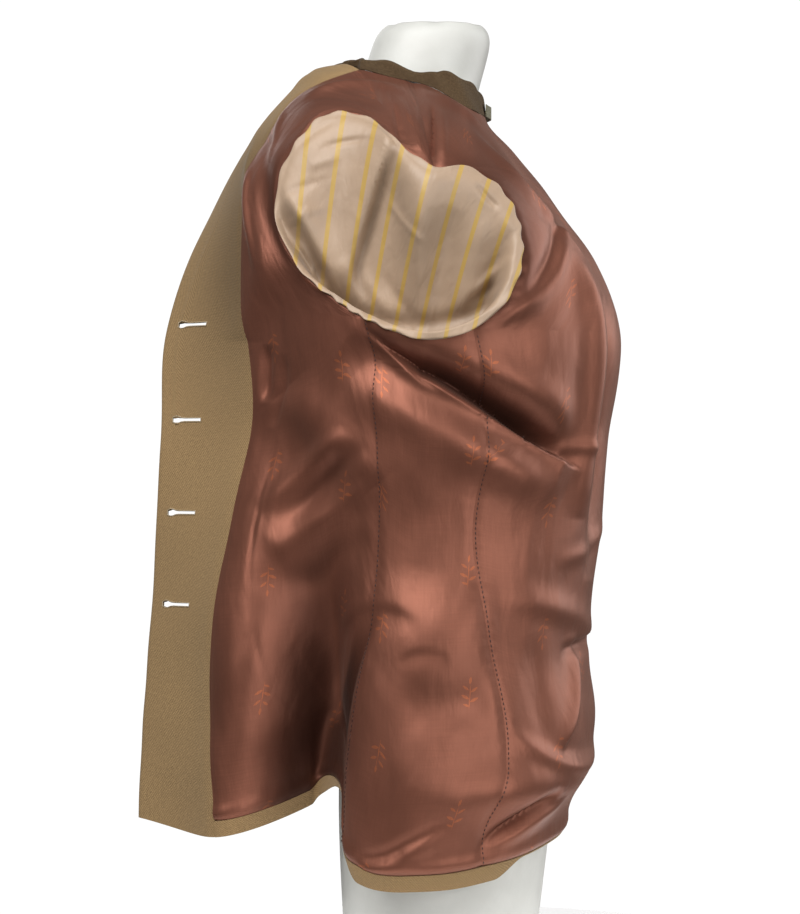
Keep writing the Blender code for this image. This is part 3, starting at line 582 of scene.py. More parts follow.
def side_by_side(*grids: Array) -> Array:
    """Grids joined at the columns that they share."""
    return np.concatenate([grids[0]] + [grid[:, 1:] for grid in grids[1:]], axis=1)


def near_centre_back(places: Array) -> Array:
    """0 to 1 as places (turn, z) come up to the centre back."""
    return ease(places[..., 0], CENTRE_BACK_FROM_TURN)


@dataclass
class HalfSurface:
    """The cloth of one half as a right-hand form: level sections, folds and creases."""

    half: Half

    def __post_init__(self) -> None:
        """Takes the half's finer folds, the right one's placed from the photograph."""
        self.finer: list[Fold] = list(LEFT_CREASES.values())
        if self.half is Half.RIGHT:
            self.finer = [self.placed(crease) for crease in CREASES.values()]

    def placed(self, crease: Crease) -> Fold:
        """A crease of the photograph as a fold on (s, z)."""
        ends = [self.seen_at(pixel) for pixel in (crease.start, crease.end)]
        return crease.fold(*ends, VIEW.scale(CHEST_X))

    def seen_at(self, pixel: Pair) -> Pair:
        """The (s, z) that a pixel of the photograph shows on the plain surface.

        Args:
            pixel: its place across and down.

        Returns:
            The place.
        """
        x = CHEST_X
        for _ in range(SIGHT_STEPS):
            y, z = VIEW.at_depth(pixel, x)
            place = np.array([self.turn_at(np.array(y), np.array(z)), z])
            point, s = self.plain(place)
            x = float(point[0])
        return float(s), float(z)

    def section(self, z: Array) -> dict[str, Array]:
        """The named measures of the level sections at heights z.

        Args:
            z: the heights.

        Returns:
            A value of each measure for each height.
        """
        knots = [row.z for row in SECTIONS]
        found = {}
        for name in ("front_y", "front_x", "flap_deg", "side_y", "side_x", "back_y"):
            found[name] = smooth_through(z, knots, [getattr(row, name) for row in SECTIONS])
        if self.half is Half.LEFT:
            share = 1 - ease(z, LEFT_FRONT_FROM_Z, LEFT_FRONT_TO_Z)
            found["front_y"] = found["front_y"] + LEFT_FRONT_BACK * share
            found["front_x"] = found["front_x"] - LEFT_FRONT_IN * share
            turned = np.minimum(found["flap_deg"] + LEFT_FLAP_TURN * share, LEFT_FLAP_MOST)
            found["flap_deg"] = np.maximum(found["flap_deg"], turned)
        return found

    def turn_at(self, y: Array, z: Array) -> Array:
        """The turn at which the plain surface has this y, seen from the side.

        Args:
            y: the places along the view.
            z: their heights.

        Returns:
            The turn of each place.
        """
        at = self.section(z)
        ahead = (at["side_y"] - y) / (at["side_y"] - at["front_y"])
        behind = np.clip((y - at["side_y"]) / (at["back_y"] - at["side_y"]), 0.0, 1.0)
        wrapped = np.arcsin(behind ** (BACK_ROUNDNESS / 2)) / (math.pi / 2)
        return np.where(y < at["side_y"], -np.clip(ahead, 0.0, 1.0), wrapped)

    def plain(self, places: Array) -> tuple[Array, Array]:
        """The surface with no folds.

        Args:
            places: (turn, z) of each point.

        Returns:
            The points, and the place s of each along its section.
        """
        turn, z = places[..., 0], places[..., 1]
        at = self.section(z)
        ahead = np.clip(-turn, 0.0, 1.0)
        reach = at["side_y"] - at["front_y"]
        front_x = (
            at["side_x"] * (2 * ahead**3 - 3 * ahead**2 + 1)
            + at["front_x"] * (3 * ahead**2 - 2 * ahead**3)
            - np.tan(np.radians(at["flap_deg"])) * reach * (ahead**3 - ahead**2)
        )
        front_y = at["side_y"] - ahead * reach
        wrap = np.clip(turn, 0.0, 1.0) * math.pi / 2
        power = 2 / BACK_ROUNDNESS
        back_x = at["side_x"] * np.clip(np.cos(wrap), 0.0, 1.0) ** power
        back_y = at["side_y"] + (at["back_y"] - at["side_y"]) * np.sin(wrap) ** power
        in_front = turn < 0
        mean_radius = (at["side_x"] + at["back_y"] - at["side_y"]) / 2
        s = np.where(in_front, front_y, at["side_y"] + wrap * mean_radius)
        rise = smooth_through(s, *zip(*HEM_RISE)) * (1 - ease(z, HEM_Z, HEM_RISE_FADES_AT))
        x, y = np.where(in_front, front_x, back_x), np.where(in_front, front_y, back_y)
        return np.stack([x, y, z + rise], axis=-1), s

    def plain_normals(self, places: Array) -> Array:
        """Outward unit normals of the plain surface, in the middle plane at the centre back.

        Args:
            places: (turn, z) of each point.

        Returns:
            The normals.
        """
        step_turn, step_z = np.array([SLOPE_STEP, 0.0]), np.array([0.0, SLOPE_STEP])
        inner = np.clip(places, [-1 + SLOPE_STEP, 0.0], [1 - SLOPE_STEP, 1.0])
        by_turn = self.plain(inner + step_turn)[0] - self.plain(inner - step_turn)[0]
        by_z = self.plain(inner + step_z)[0] - self.plain(inner - step_z)[0]
        across = np.cross(by_turn, by_z)
        across[..., 0] *= 1 - near_centre_back(places)
        return unit(across)

    def moves(self, places: Array) -> Array:
        """How far folds and creases move the plain surface out.

        Args:
            places: (turn, z) of each point.

        Returns:
            The move along the plain normal at each place.
        """
        large, fine = self.folded(self.plain(places)[1], places[..., 1])
        from_armhole = beyond_armhole(places)
        moved = large * ease(from_armhole / FOLDS_FADE_BY_ARMHOLE)
        moved = moved + fine * ease(from_armhole / CREASES_FADE_BY_ARMHOLE)
        if self.half is Half.LEFT:
            moved = moved + near_centre_back(places) * (RIGHT_PLAIN.moves(places) - moved)
        return moved

    def folded(self, s: Array, z: Array) -> tuple[Array, Array]:
        """How far the large folds and the fine creases move the cloth at places (s, z).

        Args:
            s: places along the sections.
            z: heights.

        Returns:
            The move by large folds, and by the rest.
        """
        share, lift = (1.0, 0.0) if self.half is Half.RIGHT else (LEFT_FOLD_SHARE, LEFT_FOLD_LIFT)
        large = sum(fold.moves(s, z - lift) for fold in FOLDS.values()) * share
        return large, sum(fold.moves(s, z) for fold in self.finer) + ripple(s, z)

    def shade_height(self, s: Array, z: Array) -> Array:
        """The height at (s, z) that counts for shade: large folds, open to the light, count less."""
        large, fine = self.folded(s, z)
        return SHADE_OF_LARGE * large + fine

    def shade(self, places: Array) -> Array:
        """How deep places (turn, z) lie in folds, 0 to 1.

        Args:
            places: (turn, z) of each point.

        Returns:
            0 where the cloth lies open and 1 where the cloth round it stands far above.
        """
        s, z = self.plain(places)[1], places[..., 1]
        below = depth_below(self.shade_height, s, z, SHADE_REACHES)
        beyond = beyond_armhole(places)
        folds = ease(below, SHADE_FROM, SHADE_FULL) * ease(beyond / CREASES_FADE_BY_ARMHOLE)
        away = self.plain(places)[0][..., 1:] - ARMHOLE_MIDDLE
        across = away[..., 0] ** 2 / np.sum(away**2, axis=-1)
        return np.maximum(folds, RIM_SHADE * across * bell(beyond, RIM_SHADE_REACH))

    def led_along(self, places: Array) -> Array:
        """Places of a panel with the rows near the sharpest fold led along it.

        Args:
            places: (turn, z) of the panel.

        Returns:
            The places, the nearest one in each column moved on to the fold's line.
        """
        if self.half is Half.LEFT:
            return places
        line = self.placed(CREASES[SHARPEST]).height_at(self.plain(places)[1])
        off = line - places[..., 1]
        nearest = np.argmin(np.abs(off), axis=0)
        columns = np.arange(places.shape[1])
        short = off[nearest, columns]
        reach = bell(places[..., 1] - line[nearest, columns], LEAD_REACH)
        led = places.copy()
        led[..., 1] += np.where(np.abs(short) < LEAD_REACH, short, 0.0) * reach
        return led

    def lifted(self, places: Array, by: Array) -> Array:
        """Points at some height above the plain surface."""
        return self.plain(places)[0] + self.plain_normals(places) * by[..., None]

    def points(self, places: Array) -> Array:
        """Points of the surface with its folds and creases, at places (turn, z)."""
        return self.lifted(places, self.moves(places))


RIGHT_PLAIN = HalfSurface(Half.RIGHT)


def ripple(s: Array, z: Array) -> Array:
    """The faint unevenness of hanging lining at places (s, z)."""
    return sum(size * np.sin(by_s * s + by_z * z + phase) for by_s, by_z, phase, size in RIPPLES)


def to_turn(places: Array) -> Array:
    """(turn, z) of places given as (y, z) on the right half. The left half has the same turns."""
    return np.stack([RIGHT_PLAIN.turn_at(places[..., 0], places[..., 1]), places[..., 1]], axis=-1)


def beyond_armhole(places: Array) -> Array:
    """How far places (turn, z) lie outside the armhole's edge, seen from the side.

    Args:
        places: (turn, z) of each point.

    Returns:
        The distance, below 0 inside the armhole.
    """
    from_middle = RIGHT_PLAIN.plain(places)[0][..., 1:] - ARMHOLE_MIDDLE
    degrees = np.degrees(np.arctan2(from_middle[..., 1], from_middle[..., 0]))
    return np.linalg.norm(from_middle, axis=-1) - armhole_reach(degrees)


@dataclass(frozen=True)
class Pattern:
    """The cut of one half: how many rows and columns each panel has, and where its seams run."""

    half: Half
    lower_rows: int
    armhole_rows: int
    shoulder_rows: int
    front_columns: int
    side_columns: int
    back_columns: int
    facing_columns: tuple[int, int, int]
    row_room: float = 0.0024
    close_rows: int = 0

    @property
    def holes(self) -> Floats:
        """The heights of the half's buttonholes."""
        return HOLE_HEIGHTS if self.half is Half.RIGHT else ()

    def lower_heights(self, top: float) -> Array:
        """Heights from the hem to the top of a seam, with two rows at each buttonhole.

        Args:
            top: the height of the seam's top.

        Returns:
            The hem's height, then those from the lining's foot upwards.
        """
        low = HEM_Z + HEM_SHOWS
        levels = list(np.linspace(low, FACING_TURNS_Z, self.lower_rows))
        if self.close_rows:
            apart = [z for z in levels if not CLOSE_ROWS_FROM < z < CLOSE_ROWS_TO]
            levels = sorted(apart + list(np.linspace(CLOSE_ROWS_FROM, CLOSE_ROWS_TO, self.close_rows)))
        slits = [z + side * HOLE_WIDTH / 2 for z in self.holes for side in (-1, 1)]
        clear = [z for z in levels[1:-1] if all(abs(z - hole) > self.row_room for hole in self.holes)]
        levels = sorted([low, FACING_TURNS_Z] + clear + slits)
        shares = (np.array(levels) - low) / (FACING_TURNS_Z - low)
        return np.concatenate([[HEM_Z], low + shares * (top - low)])

    def slit_rows(self) -> list[int]:
        """The rows of cells that the buttonholes open."""
        heights = self.lower_heights(FACING_TURNS_Z)
        return [int(np.argmin(np.abs(heights - z + HOLE_WIDTH / 2))) for z in self.holes]

    def slits(self) -> Cells:
        """The cells (row, column) of the facing that the buttonholes open."""
        first, wide, _ = self.facing_columns
        return {(row, first + column) for row in self.slit_rows() for column in range(wide)}

    def lower_seam(self, seam: tuple[Pair, ...], angle: float) -> Array:
        """(y, z) up a seam from the hem to the armhole's edge.

        Args:
            seam: the seam's line.
            angle: where it meets the armhole.

        Returns:
            The line, led over to the angle as it rises.
        """
        top_y, top_z = armhole_yz(np.array(angle))
        line = seam_yz(seam, self.lower_heights(float(top_z)))
        line[:, 0] += (top_y - line[-1, 0]) * ease(line[:, 1], HEM_Z, top_z)
        return line

    def facing_lines(self) -> list[Array]:
        """(y, z) up the front edge, both ends of the buttonholes and the facing's seam.

        Returns:
            The four lines.
        """
        heights = self.lower_heights(FACING_TURNS_Z)
        angles = armhole_angles(SEAMS_MEET_ARMHOLE[0], SHOULDER_ANGLE, self.armhole_rows)
        pace = np.interp(angles, *zip(*FRONT_PACE))
        shares = chain(pace, np.linspace(pace[-1], 1.0, self.shoulder_rows + 1))
        edge_z = np.linspace(FACING_TURNS_Z, EDGE_TOP_Z, TRACE_STEPS)
        upper_edge = np.stack([RIGHT_PLAIN.section(edge_z)["front_y"], edge_z], axis=1)
        upper_seam = seam_yz(FACING_SEAM, np.linspace(FACING_TURNS_Z, NECK_FRONT_Z, TRACE_STEPS))
        lower_edge = np.stack([RIGHT_PLAIN.section(heights)["front_y"], heights], axis=1)
        edge = chain(lower_edge, along(upper_edge, shares))
        seam = chain(seam_yz(FACING_SEAM, heights), along(upper_seam, shares))
        widths = seam[:, :1] - edge[:, :1]
        near = np.minimum(HOLE_FROM_EDGE / widths, HOLE_MOST_SHARES[0])
        far = np.minimum((HOLE_FROM_EDGE + HOLE_LENGTH) / widths, HOLE_MOST_SHARES[1])
        return [edge, edge + (seam - edge) * near, edge + (seam - edge) * far, seam]

    def facing(self) -> Array:
        """(turn, z) of the facing, from the front edge to its seam.

        Returns:
            The grid, its hem first.
        """
        lines = self.facing_lines()
        parts = [between(*pair, count) for pair, count in zip(zip(lines, lines[1:]), self.facing_columns)]
        grid = to_turn(side_by_side(*parts))
        grid[:, 0, 0] = -1.0
        return grid

    def shoulder(self) -> Array:
        """(y, z) up the shoulder seam, from the armhole to the neck."""
        ends = np.stack([armhole_yz(np.array(SHOULDER_ANGLE)), NECK_SIDE])
        return along(ends, np.linspace(0.0, 1.0, self.shoulder_rows + 1))

    def front(self) -> Array:
        """(turn, z) of the front, from the facing's seam to the side, the armhole and the shoulder.

        Returns:
            The grid, its hem first.
        """
        angle = SEAMS_MEET_ARMHOLE[0]
        angles = armhole_angles(angle, SHOULDER_ANGLE, self.armhole_rows)
        side = chain(self.lower_seam(FRONT_SEAM, angle), armhole_yz(angles), self.shoulder())
        return to_turn(between(self.facing_lines()[-1], side, self.front_columns))

    def side(self) -> Array:
        """(turn, z) of the side panel: two seams and, on top, the foot of the armhole.

        Returns:
            The grid, its hem first.
        """
        made = []
        tops = armhole_yz(armhole_angles(*SEAMS_MEET_ARMHOLE, self.side_columns))
        for place, (top_y, top_z) in zip(np.linspace(0.0, 1.0, len(tops)), tops):
            heights = self.lower_heights(top_z)
            y = (1 - place) * seam_yz(FRONT_SEAM, heights)[:, 0] + place * seam_yz(BACK_SEAM, heights)[:, 0]
            y += (top_y - y[-1]) * ease(heights, HEM_Z, top_z)
            made.append(np.stack([y, heights], axis=1))
        return to_turn(np.stack(made, axis=1))

    def back(self) -> Array:
        """(turn, z) of the back, from the side, the armhole and the shoulder to the centre back.

        Returns:
            The grid, its hem first.
        """
        angle = SEAMS_MEET_ARMHOLE[1] - FULL_TURN
        seam = self.lower_seam(BACK_SEAM, angle)
        angles = armhole_angles(angle, SHOULDER_ANGLE, self.armhole_rows)
        side = chain(seam, armhole_yz(angles), self.shoulder())
        centre_z = chain(
            seam[:, 1],
            np.linspace(seam[-1, 1], SHOULDER_LEVEL_AT_BACK, self.armhole_rows + 1),
            np.linspace(SHOULDER_LEVEL_AT_BACK, NECK_BACK_Z, self.shoulder_rows + 1),
        )
        centre = np.stack([np.ones(len(centre_z)), centre_z], axis=1)
        grid = between(to_turn(side), centre, self.back_columns)
        across = np.linspace(0.0, 1.0, self.back_columns + 1)
        up = np.clip(np.arange(len(grid)) - len(seam) - self.armhole_rows + 1, 0, None) / self.shoulder_rows
        grid[..., 1] -= NECK_DIP * up[:, None] * (4 * across * (1 - across)) ** 2
        return grid

    def armhole_loop(self) -> Array:
        """Angles round the armhole, upwards from the shoulder seam.

        Returns:
            The angles, once round.
        """
        front_angle, back_angle = SEAMS_MEET_ARMHOLE
        return chain(
            armhole_angles(SHOULDER_ANGLE, front_angle, self.armhole_rows),
            armhole_angles(front_angle, back_angle, self.side_columns),
            armhole_angles(back_angle, SHOULDER_ANGLE + FULL_TURN, self.armhole_rows),
        )


def rgba(colour: Colour) -> tuple[float, float, float, float]:
    """A colour with full cover."""
    return (*colour, 1.0)


class NodeSketch:
    """Adds nodes to one tree, their inputs set or linked."""

    def __init__(self, tree: bpy.types.NodeTree) -> None:
        """Takes the tree that the nodes go in."""
        self.tree = tree

    def add(self, kind: str, inputs: dict[Any, Any] | None = None, **settings: Any) -> bpy.types.Node:
        """A new node.

        Args:
            kind: the node's type without its prefix.
            inputs: values or sockets for named or numbered inputs.
            settings: the node's own properties.

        Returns:
            The node.
        """
        node = self.tree.nodes.new(f"ShaderNode{kind}")
        for name, value in settings.items():
            setattr(node, name, value)
        for name, value in (inputs or {}).items():
            if isinstance(value, Socket):
                self.feed(value, node, name)
            else:
                node.inputs[name].default_value = value
        return node

    def math(self, operation: str, *values: Any) -> Socket:
        """The result of one sum on values or sockets."""
        return self.add("Math", dict(enumerate(values)), operation=operation).outputs[0]

    def ramp(self, value: Any, low: float, high: float) -> Socket:
        """0 below one value and 1 above another, eased between."""
        sides = {"Value": value, "From Min": low, "From Max": high}
        return self.add("MapRange", sides, interpolation_type="SMOOTHSTEP").outputs[0]

    def mix(self, share: Any, first: Any, second: Any) -> Socket:
        """A second colour mixed into a first by a share."""
        return self.add("Mix", {0: share, 6: first, 7: second}, data_type="RGBA").outputs[2]

    def cloth_place(self) -> Socket:
        """The place on the flat cloth, in metres."""
        return self.add("UVMap", uv_map=CLOTH_UV).outputs["UV"]

    def stretched(self, place: Any, by: Triple) -> Socket:
        """A place multiplied along each axis."""
        return self.add("VectorMath", {0: place, 1: by}, operation="MULTIPLY").outputs[0]

    def noise(self, place: Any, scale: Any, detail: float, distortion: float = 0.0) -> Socket:
        """Soft noise at a place."""
        given = {"Vector": place, "Scale": scale, "Detail": detail, "Distortion": distortion}
        return self.add("TexNoise", given).outputs[0]

    def shared(self, effect: "Effect", **inputs: Any) -> Socket:
        """What a shared effect puts out for these inputs."""
        return self.add("Group", inputs, node_tree=effect.tree()).outputs[0]

    def feed(self, value: Socket, node: bpy.types.Node, name: str) -> None:
        """Links a value to a node's input."""
        self.tree.links.new(value, node.inputs[name])


@dataclass(frozen=True)
class Effect:
    """A shader node group that several finishes share: values in, one value out."""

    name: str
    numbers: tuple[tuple[str, float], ...]
    result: str
    placed: bool = True

    def tree(self) -> bpy.types.NodeTree:
        """The group, made the first time it is asked for."""
        found = bpy.data.node_groups.get(self.name)
        return found or self.made()

    def made(self) -> bpy.types.NodeTree:
        """The group with its sockets and what it works out.

        Returns:
            The new group.
        """
        tree = bpy.data.node_groups.new(self.name, "ShaderNodeTree")
        if self.placed:
            tree.interface.new_socket("Place", in_out="INPUT", socket_type="NodeSocketVector")
        for name, value in self.numbers:
            socket = tree.interface.new_socket(name, in_out="INPUT", socket_type="NodeSocketFloat")
            socket.default_value = value
        tree.interface.new_socket(self.result, in_out="OUTPUT", socket_type="NodeSocketFloat")
        given = tree.nodes.new("NodeGroupInput")
        out = tree.nodes.new("NodeGroupOutput")
        sketch = NodeSketch(tree)
        sketch.feed(self.work_out(sketch, given.outputs), out, self.result)
        return tree

    def work_out(self, sketch: NodeSketch, given: Any) -> Socket:
        """What the group puts out, from the sockets it is given."""
        raise NotImplementedError


class Weave(Effect):
    """Crossing threads: slanted wales with fine picks across them."""

    picks_to_a_wale = 1.7
    middle_height = 0.5
    wale_height = 0.33
    pick_height = 0.17

    def work_out(self, sketch: NodeSketch, given: Any) -> Socket:
        """The height of the threads, 0 to 1.

        Args:
            sketch: adds the nodes.
            given: Place in metres, Pitch in metres and Slant.

        Returns:
            The height.
        """
        place = sketch.add("SeparateXYZ", {0: given["Place"]}).outputs
        slanted = sketch.math("MULTIPLY_ADD", place["Y"], given["Slant"], place["X"])
        rate = sketch.math("DIVIDE", 2 * math.pi, given["Pitch"])
        wale = sketch.math("SINE", sketch.math("MULTIPLY", slanted, rate))
        pick_rate = sketch.math("MULTIPLY", rate, self.picks_to_a_wale)
        pick = sketch.math("SINE", sketch.math("MULTIPLY", place["Y"], pick_rate))
        height = sketch.math("MULTIPLY_ADD", wale, self.wale_height, self.middle_height)
        return sketch.math("MULTIPLY_ADD", pick, self.pick_height, height)


class Mottle(Effect):
    """Soft uneven tone, as dyed cloth has."""

    detail = 3.0
    span = (0.30, 0.70)

    def work_out(self, sketch: NodeSketch, given: Any) -> Socket:
        """The tone, 0 to 1, from Place in metres and Scale."""
        noise = sketch.noise(given["Place"], given["Scale"], self.detail)
        return sketch.ramp(noise, *self.span)


class Wrinkles(Effect):
    """Fine uneven creasing, longer up the cloth than across it."""

    stretch = (1.5, 0.7, 1.0)
    detail = 2.0
    distortion = 0.5

    def work_out(self, sketch: NodeSketch, given: Any) -> Socket:
        """The height of the creases, 0 to 1, from Place in metres and Scale."""
        place = sketch.stretched(given["Place"], self.stretch)
        return sketch.noise(place, given["Scale"], self.detail, self.distortion)


class FoldShade(Effect):
    """Shade gathered in folds, from each sheet's own measure of how deep they are."""

    def work_out(self, sketch: NodeSketch, given: Any) -> Socket:
        """The shade, 0 to Share."""
        deep = sketch.add("Attribute", attribute_name=FOLD_SHADE).outputs["Fac"]
        return sketch.math("MULTIPLY", deep, given["Share"])


@dataclass(frozen=True)
class Leaf:
    """One leaf of the sprig: its middle, its turn and its half length and width, in metres."""

    x: float
    y: float
    degrees: float
    half_length: float
    half_width: float


SPRIG = (
    Leaf(0.0000, 0.0000, 84, 0.0112, 0.0004),
    Leaf(0.0010, 0.0126, 82, 0.0030, 0.0011),
    Leaf(-0.0030, 0.0071, 142, 0.0032, 0.0010),
    Leaf(0.0038, 0.0052, 32, 0.0035, 0.0011),
    Leaf(-0.0036, 0.0000, 150, 0.0038, 0.0012),
    Leaf(0.0033, -0.0026, 24, 0.0038, 0.0012),
    Leaf(-0.0030, -0.0064, 156, 0.0029, 0.0009),
)
SPRIG_CELL = (0.070, 0.094)


class Sprigs(Effect):
    """Small leaf sprigs in half-drop columns, every other column upside down."""

    leaf_edge = (0.75, 1.15)

    def work_out(self, sketch: NodeSketch, given: Any) -> Socket:
        """How much sprig there is at Place, 0 to 1.

        Args:
            sketch: adds the nodes.
            given: Place in metres.

        Returns:
            The sprigs' mask.
        """
        place = sketch.add("SeparateXYZ", {0: given["Place"]}).outputs
        wide, high = SPRIG_CELL
        column = sketch.math("DIVIDE", place["X"], wide)
        odd = sketch.math("PINGPONG", sketch.math("FLOOR", column), 1.0)
        row = sketch.math("MULTIPLY_ADD", odd, 0.5, sketch.math("DIVIDE", place["Y"], high))
        flip = sketch.math("MULTIPLY_ADD", odd, -2.0, 1.0)
        x = sketch.math("MULTIPLY", sketch.math("SUBTRACT", sketch.math("FRACT", column), 0.5), wide)
        y = sketch.math("MULTIPLY", sketch.math("SUBTRACT", sketch.math("FRACT", row), 0.5), high)
        x, y = sketch.math("MULTIPLY", x, flip), sketch.math("MULTIPLY", y, flip)
        mask: Any = 0.0
        for leaf in SPRIG:
            mask = sketch.math("MAXIMUM", mask, self.leaf_mask(sketch, leaf, x, y))
        return mask

    def leaf_mask(self, sketch: NodeSketch, leaf: Leaf, x: Any, y: Any) -> Socket:
        """One pointed leaf of the sprig.

        Args:
            sketch: adds the nodes.
            leaf: the leaf.
            x: place across the sprig's cell.
            y: place up the sprig's cell.

        Returns:
            The leaf's mask.
        """
        cos, sin = math.cos(math.radians(leaf.degrees)), math.sin(math.radians(leaf.degrees))
        across_x, across_y = sketch.math("SUBTRACT", x, leaf.x), sketch.math("SUBTRACT", y, leaf.y)
        ahead = sketch.math("MULTIPLY_ADD", across_y, sin, sketch.math("MULTIPLY", across_x, cos))
        aside = sketch.math("MULTIPLY_ADD", across_y, cos, sketch.math("MULTIPLY", across_x, -sin))
        pointed = sketch.math("POWER", sketch.math("DIVIDE", ahead, leaf.half_length), 2.0)
        wide = sketch.math("DIVIDE", sketch.math("ABSOLUTE", aside), leaf.half_width)
        outside = sketch.ramp(sketch.math("ADD", pointed, wide), *self.leaf_edge)
        return sketch.math("SUBTRACT", 1.0, outside)


WEAVE = Weave("thread_weave", (("Pitch", 0.001), ("Slant", 1.0)), "Height")
MOTTLE = Mottle("dyed_mottle", (("Scale", 20.0),), "Tone")
WRINKLES = Wrinkles("fine_wrinkles", (("Scale", 24.0),), "Height")
SPRIGS = Sprigs("woven_sprigs", (), "Mask")
SHADE = FoldShade("fold_shading", (("Share", 0.8),), "Shade", placed=False)

# How much the roughness of a finish varies with its tone
GLOSS_SWING = 0.08


@dataclass(frozen=True)
class Finish:
    """A plain finish. Sheen and roughness are the same all over."""

    name: str
    colour: Colour
    roughness: float
    sheen: float = 0.0
    sheen_colour: Colour = (1.0, 1.0, 1.0)
    sheen_roughness: float = 0.4
    specular: float = 0.5
    metallic: float = 0.0

    def material(self) -> bpy.types.Material:
        """The finish's material, made the first time it is asked for.

        Returns:
            The material.
        """
        found = bpy.data.materials.get(self.name)
        if found:
            return found
        material = bpy.data.materials.new(self.name)
        material.use_nodes = True
        shader = material.node_tree.nodes["Principled BSDF"]
        values = {
            "Roughness": self.roughness,
            "Specular IOR Level": self.specular,
            "Metallic": self.metallic,
            "Sheen Weight": self.sheen,
            "Sheen Tint": rgba(self.sheen_colour),
            "Sheen Roughness": self.sheen_roughness,
        }
        for name, value in values.items():
            shader.inputs[name].default_value = value
        self.dress(NodeSketch(material.node_tree), shader)
        return material

    def dress(self, sketch: NodeSketch, shader: bpy.types.Node) -> None:
        """Colours the shader plainly."""
        shader.inputs["Base Color"].default_value = rgba(self.colour)

    def show(
        self, sketch: NodeSketch, shader: bpy.types.Node, colour: Any, tone: Any, *heights: tuple[Any, float]
    ) -> None:
        """Gives the shader its colour, a gloss that follows a tone a little, and bumps.

        Args:
            sketch: adds the nodes.
            shader: the shader to feed.
            colour: its colour.
            tone: 0 to 1, for the gloss.
            heights: heights that bump the surface one over the other, each with its distance.
        """
        sketch.feed(colour, shader, "Base Color")
        rough = sketch.math("MULTIPLY_ADD", tone, GLOSS_SWING, self.roughness - GLOSS_SWING / 2)
        sketch.feed(rough, shader, "Roughness")
        inputs: dict[str, Any] = {}
        for height, distance in heights:
            bump = sketch.add("Bump", {**inputs, "Height": height, "Distance": distance})
            inputs = {"Normal": bump.outputs[0]}
        sketch.feed(inputs["Normal"], shader, "Normal")


def darker(colour: Colour, share: float) -> tuple[float, float, float, float]:
    """A colour darkened by a share, with full cover."""
    return rgba(tuple(part * (1 - share) for part in colour))


@dataclass(frozen=True)
class HungCloth(Finish):
    """Cloth with painted shade in its folds. Its wrinkles are pairs of scale and height."""

    shade_colour: Colour = (0.060, 0.034, 0.014)
    shade_share: float = 0.60
    wrinkles: tuple[Pair, ...] = ()

    def shaded(self, sketch: NodeSketch, colour: Any) -> Socket:
        """A colour with shade gathered in the folds."""
        share = sketch.shared(SHADE, Share=self.shade_share)
        return sketch.mix(share, colour, rgba(self.shade_colour))

    def wrinkled(self, sketch: NodeSketch, place: Any) -> list[tuple[Any, float]]:
        """The cloth's wrinkles at a place, each with its height."""
        given = self.wrinkles
        return [(sketch.shared(WRINKLES, Place=place, Scale=scale), height) for scale, height in given]


@dataclass(frozen=True)
class Satin(HungCloth):
    """Shot satin: it pales where it turns away, partly by its shot weave and partly by painted sheen, and has
    sprigs woven tone on tone.
    """

    shade_colour: Colour = (0.020, 0.0065, 0.004)
    shade_share: float = 0.85
    wrinkles: tuple[Pair, ...] = ((12.0, 0.0040), (42.0, 0.0006))
    mottle_scale: float = 14.0
    deep_share: float = 0.22
    sprig_colour: Colour = (0.56, 0.150, 0.050)
    sprig_share: float = 0.36
    # Paler towards grazing angles: partly the shot weave's own colour, partly a painted sheen
    shot_and_sheen_colour: Colour = (0.32, 0.175, 0.125)
    shot_and_sheen_share: float = 0.40
    shot_and_sheen_blend: float = 0.35
    shot_and_sheen_power: float = 1.6
    thread_pitch: float = 0.0011
    thread_height: float = 0.00003
    slub_share: float = 0.22
    slub_scale: float = 700.0
    slub_drawn: float = 0.05

    def dress(self, sketch: NodeSketch, shader: bpy.types.Node) -> None:
        """Mottles the ground, weaves the sprigs in, pales what turns away with partly painted sheen and
        paints shade into the folds.

        Args:
            sketch: adds the nodes.
            shader: the shader to feed.
        """
        place = sketch.cloth_place()
        tone = sketch.shared(MOTTLE, Place=place, Scale=self.mottle_scale)
        ground = sketch.mix(tone, darker(self.colour, self.deep_share), rgba(self.colour))
        for stretch in ((self.slub_drawn, 1.0, 1.0), (1.0, self.slub_drawn, 1.0)):
            slub = sketch.shared(MOTTLE, Place=sketch.stretched(place, stretch), Scale=self.slub_scale)
            slub = sketch.math("MULTIPLY", slub, 0.5)
            ground = sketch.mix(slub, ground, darker(self.colour, self.slub_share))
        threads = sketch.shared(WEAVE, Place=place, Pitch=self.thread_pitch, Slant=0.0)
        woven = sketch.math("MULTIPLY", sketch.shared(SPRIGS, Place=place), threads)
        woven = sketch.math("MULTIPLY", woven, 2 * self.sprig_share)
        ground = sketch.mix(woven, ground, rgba(self.sprig_colour))
        # Painted sheen towards grazing angles, mixed with the shot weave's own paler colour
        facing = sketch.add("LayerWeight", {"Blend": self.shot_and_sheen_blend}).outputs["Facing"]
        turned = sketch.math("POWER", facing, self.shot_and_sheen_power)
        turned = sketch.math("MULTIPLY", turned, self.shot_and_sheen_share)
        shown = self.shaded(sketch, sketch.mix(turned, ground, rgba(self.shot_and_sheen_colour)))
        heights = [*self.wrinkled(sketch, place), (threads, self.thread_height)]
        self.show(sketch, shader, shown, tone, *heights)


